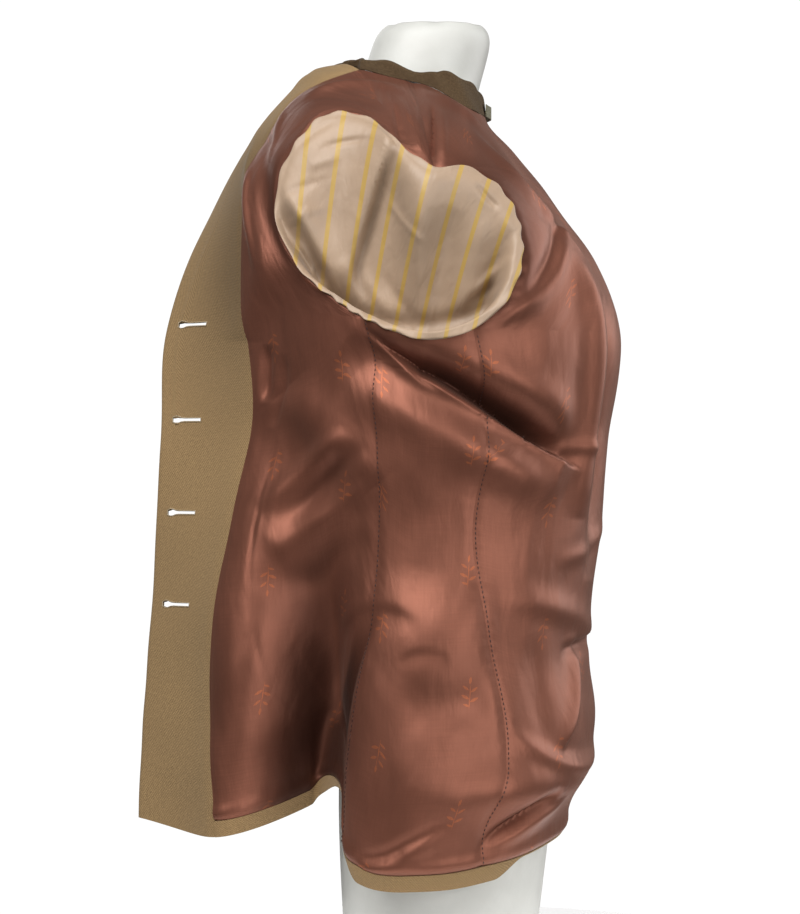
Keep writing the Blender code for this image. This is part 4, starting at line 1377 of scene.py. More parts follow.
@dataclass(frozen=True)
class Twill(HungCloth):
    """Wool twill: slanted wales, with light and dark threads."""

    pale_colour: Colour = (0.33, 0.214, 0.098)
    thread_pitch: float = 0.0021
    slant: float = 0.8
    wale_height: float = 0.00025
    mottle_scale: float = 420.0
    mottle_share: float = 0.3

    def dress(self, sketch: NodeSketch, shader: bpy.types.Node) -> None:
        """Mixes both threads by the weave and an uneven tone, paints shade from the sheet's fold_shade
        attribute, and raises the wales.

        Args:
            sketch: adds the nodes.
            shader: the shader to feed.
        """
        place = sketch.cloth_place()
        height = sketch.shared(WEAVE, Place=place, Pitch=self.thread_pitch, Slant=self.slant)
        tone = sketch.shared(MOTTLE, Place=place, Scale=self.mottle_scale)
        woven = sketch.math("MULTIPLY", height, 1 - self.mottle_share)
        share = sketch.math("MULTIPLY_ADD", tone, self.mottle_share, woven)
        mixed = sketch.mix(share, rgba(self.colour), rgba(self.pale_colour))
        self.show(sketch, shader, self.shaded(sketch, mixed), tone, (height, self.wale_height))


@dataclass(frozen=True)
class StripedLining(HungCloth):
    """Pale sleeve lining with narrow stripes."""

    shade_colour: Colour = (0.150, 0.092, 0.052)
    wrinkles: tuple[Pair, ...] = ((34.0, 0.0018), (95.0, 0.0007))
    mottle_scale: float = 30.0
    deep_share: float = 0.1
    stripe_colour: Colour = (0.47, 0.300, 0.060)
    stripe_share: float = 0.85
    stripe_pitch: float = 0.0225
    stripe_width: float = 0.0034
    stripe_blur: float = 0.15

    def dress(self, sketch: NodeSketch, shader: bpy.types.Node) -> None:
        """Mottles the ground, stripes it up the cloth and paints shade into its creases.

        Args:
            sketch: adds the nodes.
            shader: the shader to feed.
        """
        place = sketch.cloth_place()
        across = sketch.add("SeparateXYZ", {0: place}).outputs["X"]
        nearest = sketch.math("PINGPONG", across, self.stripe_pitch / 2)
        outer, inner = (self.stripe_width / 2 * (1 + blur) for blur in (self.stripe_blur, -self.stripe_blur))
        stripe = sketch.ramp(nearest, outer, inner)
        tone = sketch.shared(MOTTLE, Place=place, Scale=self.mottle_scale)
        ground = sketch.mix(tone, darker(self.colour, self.deep_share), rgba(self.colour))
        share = sketch.math("MULTIPLY", stripe, self.stripe_share)
        mixed = sketch.mix(share, ground, rgba(self.stripe_colour))
        self.show(sketch, shader, self.shaded(sketch, mixed), tone, *self.wrinkled(sketch, place))


@dataclass(frozen=True)
class Grained(Finish):
    """A finish with a fine grain, drawn out one way or even, on the flat cloth or through the piece."""

    pale_colour: Colour = (1.0, 1.0, 1.0)
    grain: float = 40.0
    drawn: Triple = (1.0, 1.0, 1.0)
    raised: float = 0.0001
    flat: bool = False

    def dress(self, sketch: NodeSketch, shader: bpy.types.Node) -> None:
        """Mixes both tones by the grain, which also raises the surface and varies its gloss.

        Args:
            sketch: adds the nodes.
            shader: the shader to feed.
        """
        place = sketch.cloth_place() if self.flat else sketch.add("TexCoord").outputs["Object"]
        tone = sketch.shared(MOTTLE, Place=sketch.stretched(place, self.drawn), Scale=self.grain)
        mixed = sketch.mix(tone, rgba(self.colour), rgba(self.pale_colour))
        self.show(sketch, shader, mixed, tone, (tone, self.raised))


NAP = {"grain": 900.0, "raised": 0.0003, "flat": True}
TWIST = {"grain": 1500.0}

LINING = Satin(
    "lining_satin", (0.268, 0.100, 0.063), 0.46,
    sheen=0.03, sheen_colour=(1.0, 0.80, 0.72), specular=0.25, metallic=0.62,
)
KHAKI = Twill(
    "khaki_twill", (0.200, 0.124, 0.054), 0.85,
    sheen=0.15, sheen_colour=(1.0, 0.95, 0.85), sheen_roughness=0.5, specular=0.25,
)
SLEEVE_LINING = StripedLining("striped_sleeve_lining", (0.425, 0.300, 0.205), 0.50, sheen=0.1)
COLLAR_FELT = Grained(
    "collar_felt", (0.056, 0.034, 0.016), 0.92, pale_colour=(0.105, 0.067, 0.034), **NAP,
    sheen=0.05, sheen_colour=(0.9, 0.8, 0.65), sheen_roughness=0.5, specular=0.2,
)
RIBBON = Grained(
    "loop_ribbon", (0.15, 0.14, 0.085), 0.75, pale_colour=(0.22, 0.21, 0.14), **NAP,
    sheen=0.1, specular=0.3,
)
FORM_PAINT = Grained("form_paint", (0.56, 0.56, 0.525), 0.45, pale_colour=(0.60, 0.60, 0.565), raised=0.0002)
HORN = Grained(
    "button_horn", (0.060, 0.032, 0.014), 0.28, pale_colour=(0.15, 0.085, 0.038),
    grain=220.0, drawn=(1.0, 0.15, 1.0), raised=0.00002,
)
SEAM_THREAD = Grained("seam_thread", (0.038, 0.013, 0.010), 0.6, pale_colour=(0.055, 0.020, 0.015), **TWIST)
HOLE_THREAD = Grained("buttonhole_thread", (0.24, 0.17, 0.09), 0.6, pale_colour=(0.42, 0.33, 0.22), **TWIST)


def deselect() -> None:
    """Leaves nothing selected."""
    bpy.ops.object.select_all(action="DESELECT")


def take(piece: Piece) -> None:
    """Selects one object alone and makes it the active one.

    Args:
        piece: the object.
    """
    deselect()
    piece.select_set(True)
    bpy.context.view_layer.objects.active = piece


def settle(piece: Piece, finish: Finish, slot: str | None, *nodes: str) -> Piece:
    """Gives a piece its finish and its place in the frame.

    Args:
        piece: the finished mesh.
        finish: how it looks.
        slot: the record's name for the finish; not used.
        nodes: the CAD nodes that it stands for.

    Returns:
        The piece.
    """
    piece.data.materials.clear()
    piece.data.materials.append(finish.material())
    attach(piece, BODY)
    if nodes:
        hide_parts(*nodes)
    return piece


def put_in_scene(name: str, data: bpy.types.ID) -> Piece:
    """A new object in the scene.

    Args:
        name: its name.
        data: its mesh or curve.

    Returns:
        The object.
    """
    piece = bpy.data.objects.new(name, data)
    bpy.context.scene.collection.objects.link(piece)
    return piece


def grid_mesh(name: str, points: Array, places: Array, slits: Cells) -> Piece:
    """A sheet of quads through a grid of points.

    Args:
        name: the object's name.
        points: rows and columns of points, columns and rows turning outwards.
        places: the flat place of each point, in metres.
        slits: cells (row, column) that stay open.

    Returns:
        The new object.
    """
    rows, columns = points.shape[:2]
    cells = [(r, c) for r in range(rows - 1) for c in range(columns - 1) if (r, c) not in slits]
    quads = [
        (r * columns + c, r * columns + c + 1, (r + 1) * columns + c + 1, (r + 1) * columns + c)
        for r, c in cells
    ]
    mesh = bpy.data.meshes.new(name)
    mesh.from_pydata(points.reshape(-1, 3).tolist(), [], quads)
    corners = np.array(quads).ravel()
    layer = mesh.uv_layers.new(name=CLOTH_UV)
    layer.data.foreach_set("uv", places.reshape(-1, 2)[corners].astype(np.float32).ravel())
    return put_in_scene(name, mesh)


SHARP_ANGLE = math.radians(55)


def thicken(piece: Piece, wall: float) -> None:
    """Makes a sheet a wall, inwards from its outer face, and shades it smooth.

    Args:
        piece: the sheet.
        wall: its thickness.
    """
    take(piece)
    solid = piece.modifiers.new("wall", "SOLIDIFY")
    solid.thickness = wall
    solid.offset = -1.0
    bpy.ops.object.modifier_apply(modifier=solid.name)
    bpy.ops.object.shade_smooth_by_angle(angle=SHARP_ANGLE)
    deselect()


@dataclass(frozen=True)
class Cloth:
    """A kind of cloth sheet: its finish, its slot, its thickness and how it is held."""

    finish: Finish
    slot: str
    wall: float
    hold: Hold

    def sheet(
        self,
        node: str,
        points: Array,
        places: Array | None = None,
        slits: Cells = frozenset(),
        shade: Array | None = None,
    ) -> Piece:
        """A sheet of this cloth through a grid of points.

        Args:
            node: the CAD node that it stands for.
            points: the grid of its outer face.
            places: flat places for its pattern, worked out from the grid when left out.
            slits: cells that stay open.
            shade: how deep each point lies in folds.

        Returns:
            The finished piece.
        """
        cut = cut_map(points)
        piece = grid_mesh(f"sewn_{node}", points, cut if places is None else places, slits)
        if shade is not None:
            layer = piece.data.attributes.new(FOLD_SHADE, "FLOAT", "POINT")
            layer.data.foreach_set("value", shade.astype(np.float32).ravel())
        thicken(piece, self.wall)
        settle(piece, self.finish, self.slot, node)
        return piece


LINING_CLOTH = Cloth(LINING, "lining", 0.0006, Hold.HUNG)
FACING_CLOTH = Cloth(KHAKI, "cloth", 0.0013, Hold.HUNG)
SHELL_CLOTH = Cloth(KHAKI, "cloth", 0.0014, Hold.HUNG)
SLEEVE_CLOTH = Cloth(SLEEVE_LINING, "sleeve_lining", 0.0008, Hold.GATHERED)
COLLAR_CLOTH = Cloth(COLLAR_FELT, "collar", 0.0015, Hold.FOLDED)
LOOP_CLOTH = Cloth(RIBBON, "loop", 0.0009, Hold.FOLDED)


def on_side(points: Array, half: Half) -> Array:
    """Points of a right-hand form put on their own side, their columns still turning outwards."""
    return points if half is Half.RIGHT else points[:, ::-1] * OTHER_SIDE


# How much the first and the last column of each lining panel puckers, None where it isn't a seam
PUCKERS = {"front": (0.0, 0.15), "side": (0.1, 0.12), "back": (0.22, None)}


@dataclass
class BodyHalf:
    """The lining, facing, hem band and shell of one half."""

    half: Half
    pattern: Pattern
    seam_sink: float = 0.0009
    seam_reach: float = 0.0042
    pucker_pitch: float = 0.0105
    pucker_wander: Pair = (2.0, 41.0)
    pucker_swell: float = 9.0
    foot_bulge: float = 0.0022
    foot_reach: float = 0.0060
    foot_drawn: float = 0.8
    foot_drawn_reach: float = 0.0015
    edge_roll: float = 0.0018
    edge_roll_share: float = 0.6
    roll_shade_z: Floats = (0.440, 0.580, 0.660, 0.730)
    roll_shade_reach: float = 0.055
    shell_behind: float = 0.0024
    shell_reach: int = 3
    hem_rows: int = 5
    eye: Floats = (0.0004, 0.0015, 0.0013, 0.0003)
    stitch_column: int = 1

    def __post_init__(self) -> None:
        """Makes the half's surface and cuts its panels."""
        self.surface = HalfSurface(self.half)
        self.facing = self.pattern.facing()
        self.panels = {
            "front": self.pattern.front(),
            "side": self.surface.led_along(self.pattern.side()),
            "back": self.surface.led_along(self.pattern.back()),
        }
        for panel in self.panels.values():
            self.tuck_hem(panel)
        self.outer: dict[str, Array] = {}

    def build(self) -> list[Piece]:
        """All pieces of this half, the outermost first."""
        return [*self.linings(), self.facing_piece(), self.hem_band(), *self.shell()]

    def tuck_hem(self, places: Array) -> None:
        """Draws a panel's hem up under the lining where the lining hangs over it.

        Args:
            places: (turn, z) of the panel, its hem first.
        """
        share = ease(np.interp(self.surface.plain(places[0])[1], *zip(*HEM_TUCK)))
        if self.half is Half.LEFT:
            share = share * ease(places[0, :, 0], LEFT_TUCK_FROM_TURN)
        places[0, :, 1] += HEM_SHOWS * HEM_TUCK_MOST * share

    def sewn(
        self, cloth: Cloth, name: str, points: Array, slits: Cells = frozenset(), shade: Array | None = None
    ) -> Piece:
        """A sheet of this half, put on its own side.

        Args:
            cloth: its cloth.
            name: its node's name without the half.
            points: its outer face as a right-hand form.
            slits: cells that stay open.
            shade: how deep each point lies in folds.

        Returns:
            The finished piece.
        """
        if self.half is Half.LEFT:
            slits = {(row, points.shape[1] - 2 - column) for row, column in slits}
            shade = None if shade is None else shade[:, ::-1]
        return cloth.sheet(f"{name}_{self.half.word}", on_side(points, self.half), slits=slits, shade=shade)

    def seams_sunk(self, places: Array, puckers: tuple[float | None, float | None]) -> Array:
        """Points of a panel, drawn in and puckered along its seams.

        Args:
            places: (turn, z) of the panel.
            puckers: how much its first and its last column puckers, None where it isn't a seam.

        Returns:
            The points.
        """
        points = self.surface.points(places)
        across, up = run_along(points, 1), run_along(points, 0)
        size, rate = self.pucker_wander
        wave = np.sin(2 * math.pi * up / self.pucker_pitch + size * np.sin(rate * up))
        wave = wave * np.sin(self.pucker_swell * up) ** 2
        sunk = np.zeros(points.shape[:2])
        for pucker, distance in zip(puckers, (across, across[:, -1:] - across)):
            if pucker is None:
                continue
            near = bell(distance, self.seam_reach)
            reach = bell(distance - self.seam_reach, self.seam_reach)
            sunk += self.seam_sink * (near - pucker * reach * wave)
        return points - self.surface.plain_normals(places) * sunk[..., None]

    def linings(self) -> list[Piece]:
        """The three lining panels, each bulging over the hem band at its foot.

        Returns:
            The panels, from the front to the back.
        """
        made = []
        for name, panel in self.panels.items():
            places = panel[1:]
            points = self.seams_sunk(places, PUCKERS[name])
            up = run_along(points, 0)
            bulge = bell(up - self.foot_reach, self.foot_reach)
            bulge = bulge - self.foot_drawn * np.exp(-up / self.foot_drawn_reach)
            points = points + self.surface.plain_normals(places) * (bulge * self.foot_bulge)[..., None]
            self.outer[name] = points
            made.append(self.sewn(LINING_CLOTH, f"lining_{name}", points, shade=self.surface.shade(places)))
        return made

    def open_eyes(self, points: Array) -> Array:
        """Rounds the end of each buttonhole near the front edge.

        Args:
            points: the facing's grid.

        Returns:
            The grid with its slits opened.
        """
        points = points.copy()
        first = self.pattern.facing_columns[0]
        for row in self.pattern.slit_rows():
            for step, wider in enumerate(self.eye):
                points[row, first + step, 2] -= wider
                points[row + 1, first + step, 2] += wider
        return points

    def stitch_lines(self) -> dict[str, tuple[Array, Array]]:
        """Lines that stitches follow beside the long seams: their points and normals.

        Returns:
            A line for each seam, by name, on this half's own side.
        """
        lines = {}
        flip = 1.0 if self.half is Half.RIGHT else OTHER_SIDE
        for seam, panel in (("front_seam", "side"), ("back_seam", "back")):
            points = self.outer[panel][: len(self.pattern.lower_heights(FACING_TURNS_Z)) - 1]
            grids = (points, grid_normals(points))
            lines[seam] = tuple(grid[:, self.stitch_column] * flip for grid in grids)
        return lines

    def facing_piece(self) -> Piece:
        """The facing up the front edge, its edge rolled inwards.

        Returns:
            The finished piece.
        """
        points = self.seams_sunk(self.facing, (None, 0.0))
        from_edge = np.clip(run_along(points, 1) / self.edge_roll, 0.0, 1.0)
        rolled = self.edge_roll * (1 - np.sqrt(1 - (1 - from_edge) ** 2)) * self.edge_roll_share
        points = self.open_eyes(points - self.surface.plain_normals(self.facing) * rolled[..., None])
        self.outer["facing"] = points
        across = run_along(points, 1)
        # Painted shade on the facing beside its seam, under the lining's roll, on its upper part only
        shade = bell(across[:, -1:] - across, self.roll_shade_reach)
        shade = shade * ease(np.interp(points[..., 2], self.roll_shade_z, (0.0, 1.0, 1.0, 0.0)))
        return self.sewn(FACING_CLOTH, "facing", points, self.pattern.slits(), shade)

    def hem_band(self) -> Piece:
        """The turned-up hem that shows below the lining.

        Returns:
            The finished piece.
        """
        low, high = (chain(*(panel[row] for panel in self.panels.values())) for row in (0, 1))
        places = np.swapaxes(between(low, high, self.hem_rows), 0, 1)
        return self.sewn(FACING_CLOTH, "hem_band", self.surface.points(places))

    def shell(self) -> list[Piece]:
        """The khaki shell inside the lining, in three panels.

        Returns:
            The panels, from the front to the back.
        """
        made = []
        whole_front = side_by_side(self.facing, self.panels["front"])
        for name, places in {**self.panels, "front": whole_front}.items():
            lowest = lowest_near(self.surface.moves(places), self.shell_reach)
            points = self.surface.lifted(places, lowest - self.shell_behind)
            slits: Cells = set()
            if name == "front":
                points = self.open_eyes(points[:, every_other(points.shape[1], self.facing.shape[1])])
                slits = {(row, column + step) for row, column in self.pattern.slits() for step in (-1, 0)}
            else:
                points = points[every_other(points.shape[0])][:, every_other(points.shape[1])]
            made.append(self.sewn(SHELL_CLOTH, f"cloth_{name}", points, slits))
        return made


@dataclass(frozen=True)
class SleeveRing:
    """A flattened ring of the sleeve, a depth behind the body's plain surface."""

    z: float
    middle_y: float
    half_depth: float
    behind: float
    half_gap: float


SLEEVE_RINGS = (
    SleeveRing(0.485, -0.030, 0.076, 0.0320, 0.0080),
    SleeveRing(0.400, -0.018, 0.066, 0.0260, 0.0080),
    SleeveRing(0.310, 0.000, 0.056, 0.0160, 0.0080),
    SleeveRing(0.230, 0.000, 0.054, 0.0145, 0.0080),
    SleeveRing(0.165, 0.000, 0.052, 0.0150, 0.0080),
)

# Pleats and creases of the sleeve's lining where it fills the armhole, in pixels of the photograph
SLEEVE_CREASES = {
    "head_pleat": Crease((396, 118), (343, 290), -1, 6, 10.0, 3.5),
    "head_pleat_shade": Crease((404, 132), (354, 290), -1, 9, -1.5, 0.8),
    "band_edge": Crease((296, 262), (516, 290), -50, 9, -5.5, 0.75),
    "head_pleat_hook": Crease((344, 256), (370, 318), -3, 6, 5.0, 2.5),
    "pocket_edge": Crease((280, 184), (348, 306), 3, 18, 9.0, 0.3),
    "pocket": Crease((276, 206), (328, 288), -6, 8, -9.0),
    "pocket_crease": Crease((296, 240), (316, 280), 3, 3, 2.5),
    "cap_crease_1": Crease((276, 200), (330, 183), 2, 3, -2.0),
    "cap_crease_2": Crease((318, 152), (374, 142), 2, 3, -2.0),
    "cap_ridge": Crease((308, 171), (342, 160), 1, 4, 1.6),
    "right_light": Crease((388, 202), (424, 250), -3, 3, 2.0),
    "middle_ridge": Crease((424, 190), (404, 320), 0, 10, 3.0),
    "right_valley": Crease((454, 212), (432, 328), 0, 13, -5.0),
    "right_ridge": Crease((484, 214), (462, 320), 0, 8, 4.0, 1.6),
    "right_pocket": Crease((510, 230), (482, 320), -3, 8, -5.0),
    "fan_1": Crease((362, 270), (398, 322), -4, 5, 2.0),
    "fan_2": Crease((380, 268), (420, 325), -4, 5, -2.0),
    "cap_crease_3": Crease((296, 150), (338, 122), 2, 4, -2.0),
    "cap_crease_4": Crease((286, 226), (330, 208), 1, 3, 1.5),
    "right_crease": Crease((474, 190), (498, 216), -2, 3, -2.0),
    "low_fan_1": Crease((470, 300), (512, 262), 3, 4, 2.5),
    "low_fan_2": Crease((462, 312), (508, 282), 3, 4, -2.5),
}


@dataclass
class Sleeve:
    """A sleeve pushed into the body: over the armhole's edge and down to its cuff."""

    half: Half
    pattern: Pattern
    rows_over: int = 90
    rows_down: int = 26
    seam_gap: float = 0.0004
    level: float = 0.002
    leaves: float = 0.022
    hangs: float = 0.020
    arrives: float = 0.45
    puff: float = 0.007
    band: float = 0.013
    fade: float = 0.010
    lap: float = 0.0014
    lap_reach: float = 0.0020
    scallops: int = 23
    scallop_share: float = 0.5
    scallop_wander: Pair = (4.0, 3.0)
    row_crowding: float = 1.4
    stripe_leans: Pair = (0.26, 1.6)
    stripe_lean_span: Pair = (-0.15, 0.10)
    creases_x: float = 0.120
    shade_reaches: Floats = (0.004, 0.008)
    shade_from: float = 0.0015
    shade_full: float = 0.011

    def __post_init__(self) -> None:
        """Makes the half's surface and the angles of the sleeve's columns."""
        self.surface = HalfSurface(self.half)
        self.degrees = self.pattern.armhole_loop()

    def seam_columns(self) -> list[int]:
        """Columns of the two long seams, at the front and the back of the armhole."""
        return [int(np.argmin(np.abs(self.degrees - end))) for end in (FULL_TURN / 2, FULL_TURN)]

    def ring_degrees(self) -> Array:
        """Angles round the rings for the armhole's columns, the long seams at the rings' ends.

        Returns:
            The angle of each column.
        """
        front_end, back_end = self.seam_columns()
        top = len(self.degrees) - 1 - (back_end - front_end)
        knots = (front_end - top, front_end, back_end, back_end + top)
        return np.interp(np.arange(len(self.degrees)), knots, np.arange(4) * FULL_TURN / 2)

    def ring(self, at: SleeveRing) -> Array:
        """The points of one ring, its upper half nearer the form.

        Args:
            at: the ring's measures.

        Returns:
            A point for each column.
        """
        turned = np.radians(self.ring_degrees())
        y = at.middle_y + at.half_depth * np.cos(turned)
        places = to_turn(np.stack([y, np.full(len(y), at.z)], axis=1))
        depth = at.behind + at.half_gap * (1 + np.sin(turned))
        inward = unit(self.surface.plain_normals(places) * (UP - 1))
        return self.surface.plain(places)[0] + inward * depth[:, None]

    def points(self) -> Array:
        """The whole sleeve as a right-hand form, from the armhole's seam to the cuff.

        Returns:
            A grid of points, its columns once round the armhole.
        """
        turned = np.radians(self.degrees)[:, None]
        seam = armhole_yz(self.degrees)
        toward = unit(ARMHOLE_MIDDLE - seam)
        seam = seam + toward * self.seam_gap
        places = to_turn(seam)
        start = self.surface.points(places)
        over = unit(self.surface.points(to_turn(seam + toward * self.level)) - start)
        out = self.surface.plain_normals(places)
        upper, lower = np.clip(np.sin(turned), 0.0, 1.0), np.clip(-np.sin(turned), 0.0, 1.0)
        leave = start + over * (self.leaves + self.hangs * upper)
        leave = leave + out * (self.puff * (1 - lower) + self.band * lower)
        rings = np.stack([self.ring(at) for at in SLEEVE_RINGS])
        fall = (start - rings[0]) * UP
        arrive = rings[0] + fall * self.arrives
        t = (np.linspace(0.0, 1.0, self.rows_over) ** self.row_crowding)[:, None, None]
        first, last = start * (1 - t) ** 3, rings[0] * t**3
        head = first + 3 * leave * t * (1 - t) ** 2 + 3 * arrive * t**2 * (1 - t) + last
        steps = np.linspace(0, len(rings) - 1, self.rows_down)[1:]
        low = np.clip(steps.astype(int), 0, len(rings) - 2)
        share = (steps - low)[:, None, None]
        points = np.concatenate([head, rings[low] * (1 - share) + rings[low + 1] * share])
        size, rate = self.scallop_wander
        wander = size * np.sin(rate * turned[:, 0])
        scallop = 1 + self.scallop_share * np.sin(self.scallops * turned[:, 0] + wander)
        lapped = bell(run_along(points, 0) - self.lap_reach, self.lap_reach) * self.lap * scallop
        return points + lapped[..., None] * (out - over)

    def shown(self, points: Array) -> Array:
        """0 to 1 as points lie further from the armhole's seam."""
        return ease(run_along(points, 0) / self.fade)

    def creased(self, points: Array) -> Array:
        """Points of the sleeve with the pleats and creases that show in the armhole."""
        moved = self.crease_height(points[..., 1], points[..., 2]) * self.shown(points)
        return points + moved[..., None] * OUTWARD

    def crease_height(self, y: Array, z: Array) -> Array:
        """How far the creases stand out.

        Args:
            y: places along the view.
            z: their heights.

        Returns:
            The height of the creases.
        """
        height = np.zeros(y.shape)
        for crease in SLEEVE_CREASES.values():
            ends = (tuple(VIEW.at_depth(pixel, self.creases_x)) for pixel in (crease.start, crease.end))
            height += crease.fold(*ends, VIEW.scale(self.creases_x)).moves(y, z)
        return height

    def shade(self, points: Array) -> Array:
        """How deep points lie in the creases, 0 to 1."""
        below = depth_below(self.crease_height, points[..., 1], points[..., 2], self.shade_reaches)
        return self.shown(points) * ease(below, self.shade_from, self.shade_full)

    def stripe_map(self, points: Array) -> Array:
        """Flat places for the stripes, which lean more towards the back.

        Args:
            points: the sleeve's grid.

        Returns:
            The flat place of each point.
        """
        y, z = points[..., 1], points[..., 2]
        lean, more = self.stripe_leans
        across = y - (z - ARMHOLE_MIDDLE[1]) * (lean + more * np.clip(y, *self.stripe_lean_span))
        return np.stack([across, z], axis=-1)

    def build(self) -> list[Piece]:
        """The upper and the under sleeve, joined at two long seams.

        Returns:
            Both pieces.
        """
        plain = self.points()
        points, shade = self.creased(plain), self.shade(plain)
        front_end, back_end = self.seam_columns()
        made = []
        for name, columns in (
            ("sleeve_top", list(range(back_end, points.shape[1])) + list(range(1, front_end + 1))),
            ("sleeve_under", list(range(front_end, back_end + 1))),
        ):
            part = on_side(points[:, columns], self.half)
            node = f"{name}_{self.half.word}"
            made.append(SLEEVE_CLOTH.sheet(node, part, self.stripe_map(part), shade=shade[:, columns]))
        return made


def mirrored_round(right: Array) -> Array:
    """Rows of points of the right half carried on round the back to the left."""
    return np.concatenate([right, right[:, -2::-1] * OTHER_SIDE], axis=1)


@dataclass
class Collar:
    """The collar: it stands on the neckline, rolls over its top and falls inside."""

    pattern: Pattern
    turns: Floats = (-1.00, -0.50, -0.07, 0.06, 0.25, 0.55, 1.00)
    stands: Floats = (0.0040, 0.0090, 0.0068, 0.0066, 0.0175, 0.0222, 0.0150)
    leans: Floats = (0.002, 0.002, 0.001, 0.001, 0.006, 0.008, 0.001)
    roll: float = 0.0032
    roll_steps: int = 10
    stand_rows: int = 9
    fall: float = 0.014
    fall_share: float = 0.7
    fall_rows: int = 5
    middle_y: float = -0.014
    seam_gap: float = 0.0004
    uneven: float = 0.0006
    uneven_rates: Pair = (190.0, 270.0)
    lead_growth: float = 0.1
    lead_from_y: float = -0.0910
    lead_to_y: float = -0.0690
    lead_columns: int = 10
    lead_behind: float = 0.006
    lead_below: float = 0.0002

    def lead_in(self) -> Array:
        """Points behind the front edge's top, where the collar starts thin.

        Returns:
            The points, upwards.
        """
        z = np.linspace(FACING_TURNS_Z, EDGE_TOP_Z, TRACE_STEPS)
        y = np.linspace(self.lead_from_y, self.lead_to_y, self.lead_columns)
        edge = RIGHT_PLAIN.plain(np.stack([np.full(len(z), -1.0), z], axis=1))[0]
        x, z = (np.interp(y, edge[:, 1], edge[:, axis]) for axis in (0, 2))
        return np.stack([x - self.lead_behind, y, z - self.lead_below], axis=1)

    def build(self) -> list[Piece]:
        """The collar as one sheet.

        Returns:
            The finished piece, in a list.
        """
        neckline = chain(self.pattern.front()[-1], self.pattern.back()[-1])
        turn = np.where(neckline[:, 0] < 0, neckline[:, 0] / -neckline[0, 0], neckline[:, 0])
        lead = self.lead_in()
        thin = np.linspace(self.lead_growth, 1.0, len(lead), endpoint=False)
        growth = np.concatenate([thin, np.ones(len(turn))])[:, None]
        turn = np.concatenate([np.full(len(lead), -1.0), turn])
        seat = np.concatenate([lead, RIGHT_PLAIN.points(neckline) + UP * self.seam_gap])
        stand = smooth_through(turn, self.turns, self.stands)[:, None] * growth
        lean = smooth_through(turn, self.turns, self.leans)[:, None] * growth
        inward = unit((np.array([0.0, self.middle_y, 0.0]) - seat) * (1 - UP))
        top = seat + UP * stand + inward * lean
        rows = [seat * (1 - share) + top * share for share in np.linspace(0.0, 1.0, self.stand_rows)]
        for turned in np.linspace(0.0, math.pi, self.roll_steps + 1)[1:]:
            over = inward * (1 - math.cos(turned)) + UP * math.sin(turned)
            rows.append(top + self.roll * growth * over)
        rolled = rows[-1]
        drop = np.minimum(self.fall, stand * self.fall_share)
        for share in np.linspace(0.0, 1.0, self.fall_rows)[1:]:
            rows.append(rolled - UP * share * drop)
        points = mirrored_round(np.stack(rows))
        across, up = self.uneven_rates
        wave = np.sin(run_along(points, 1) * across + run_along(points, 0) * up)
        points = points + grid_normals(points) * (wave * self.uneven)[..., None]
        return [COLLAR_CLOTH.sheet("collar", points)]


@dataclass
class HangerLoop:
    """A short ribbon that stands off the collar's seam at the centre back."""

    half_length: float = 0.024
    height: float = 0.010
    bulge: float = 0.0036
    rise: float = 0.001
    clear: float = 0.0014
    columns: int = 32
    rows: int = 5

    def build(self) -> list[Piece]:
        """The ribbon as one sheet.

        Returns:
            The finished piece, in a list.
        """
        foot_z = NECK_BACK_Z + self.rise
        turns = np.linspace(1.0, 0.0, TRACE_STEPS)
        seat = RIGHT_PLAIN.points(np.stack([turns, np.full(TRACE_STEPS, foot_z)], axis=1))
        x = np.linspace(self.half_length, -self.half_length, self.columns)
        y = np.interp(np.abs(x), seat[:, 0], seat[:, 1]) + self.clear
        y = y + self.bulge * ease(1 - np.abs(x) / self.half_length)
        low = np.stack([x, y, np.full(len(x), foot_z)], axis=1)
        points = np.stack([low + UP * z for z in np.linspace(0.0, self.height, self.rows)])
        return [LOOP_CLOTH.sheet("hanger_loop", points)]


@dataclass
class DressForm:
    """The white form inside the blazer, smoothed from its CAD node."""

    weld: float = 1e-5
    even: float = math.radians(40)
    sharp: float = math.radians(70)
    levels: int = 2

    def build(self) -> list[Piece]:
        """A welded, subdivided copy of the form's node.

        Returns:
            The finished piece, in a list.
        """
        node = frame["nodes"][FORM_NODE]
        take(node)
        bpy.ops.object.duplicate(linked=False)
        piece = bpy.context.view_layer.objects.active
        piece.name = "smooth_form"
        bpy.ops.object.mode_set(mode="EDIT")
        bpy.ops.mesh.select_all(action="SELECT")
        bpy.ops.mesh.remove_doubles(threshold=self.weld)
        bpy.ops.mesh.tris_convert_to_quads(face_threshold=self.even, shape_threshold=self.even)
        bpy.ops.mesh.select_all(action="DESELECT")
        bpy.ops.mesh.select_mode(type="EDGE")
        bpy.ops.mesh.edges_select_sharp(sharpness=self.sharp)
        bpy.ops.transform.edge_crease(value=1.0)
        bpy.ops.object.mode_set(mode="OBJECT")
        smooth = piece.modifiers.new("smooth", "SUBSURF")
        smooth.levels = self.levels
        bpy.ops.object.modifier_apply(modifier=smooth.name)
        bpy.ops.object.shade_smooth_by_angle(angle=SHARP_ANGLE)
        deselect()
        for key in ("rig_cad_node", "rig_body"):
            if key in piece:
                del piece[key]
        piece.parent = None
        return [settle(piece, FORM_PAINT, "form", FORM_NODE)]


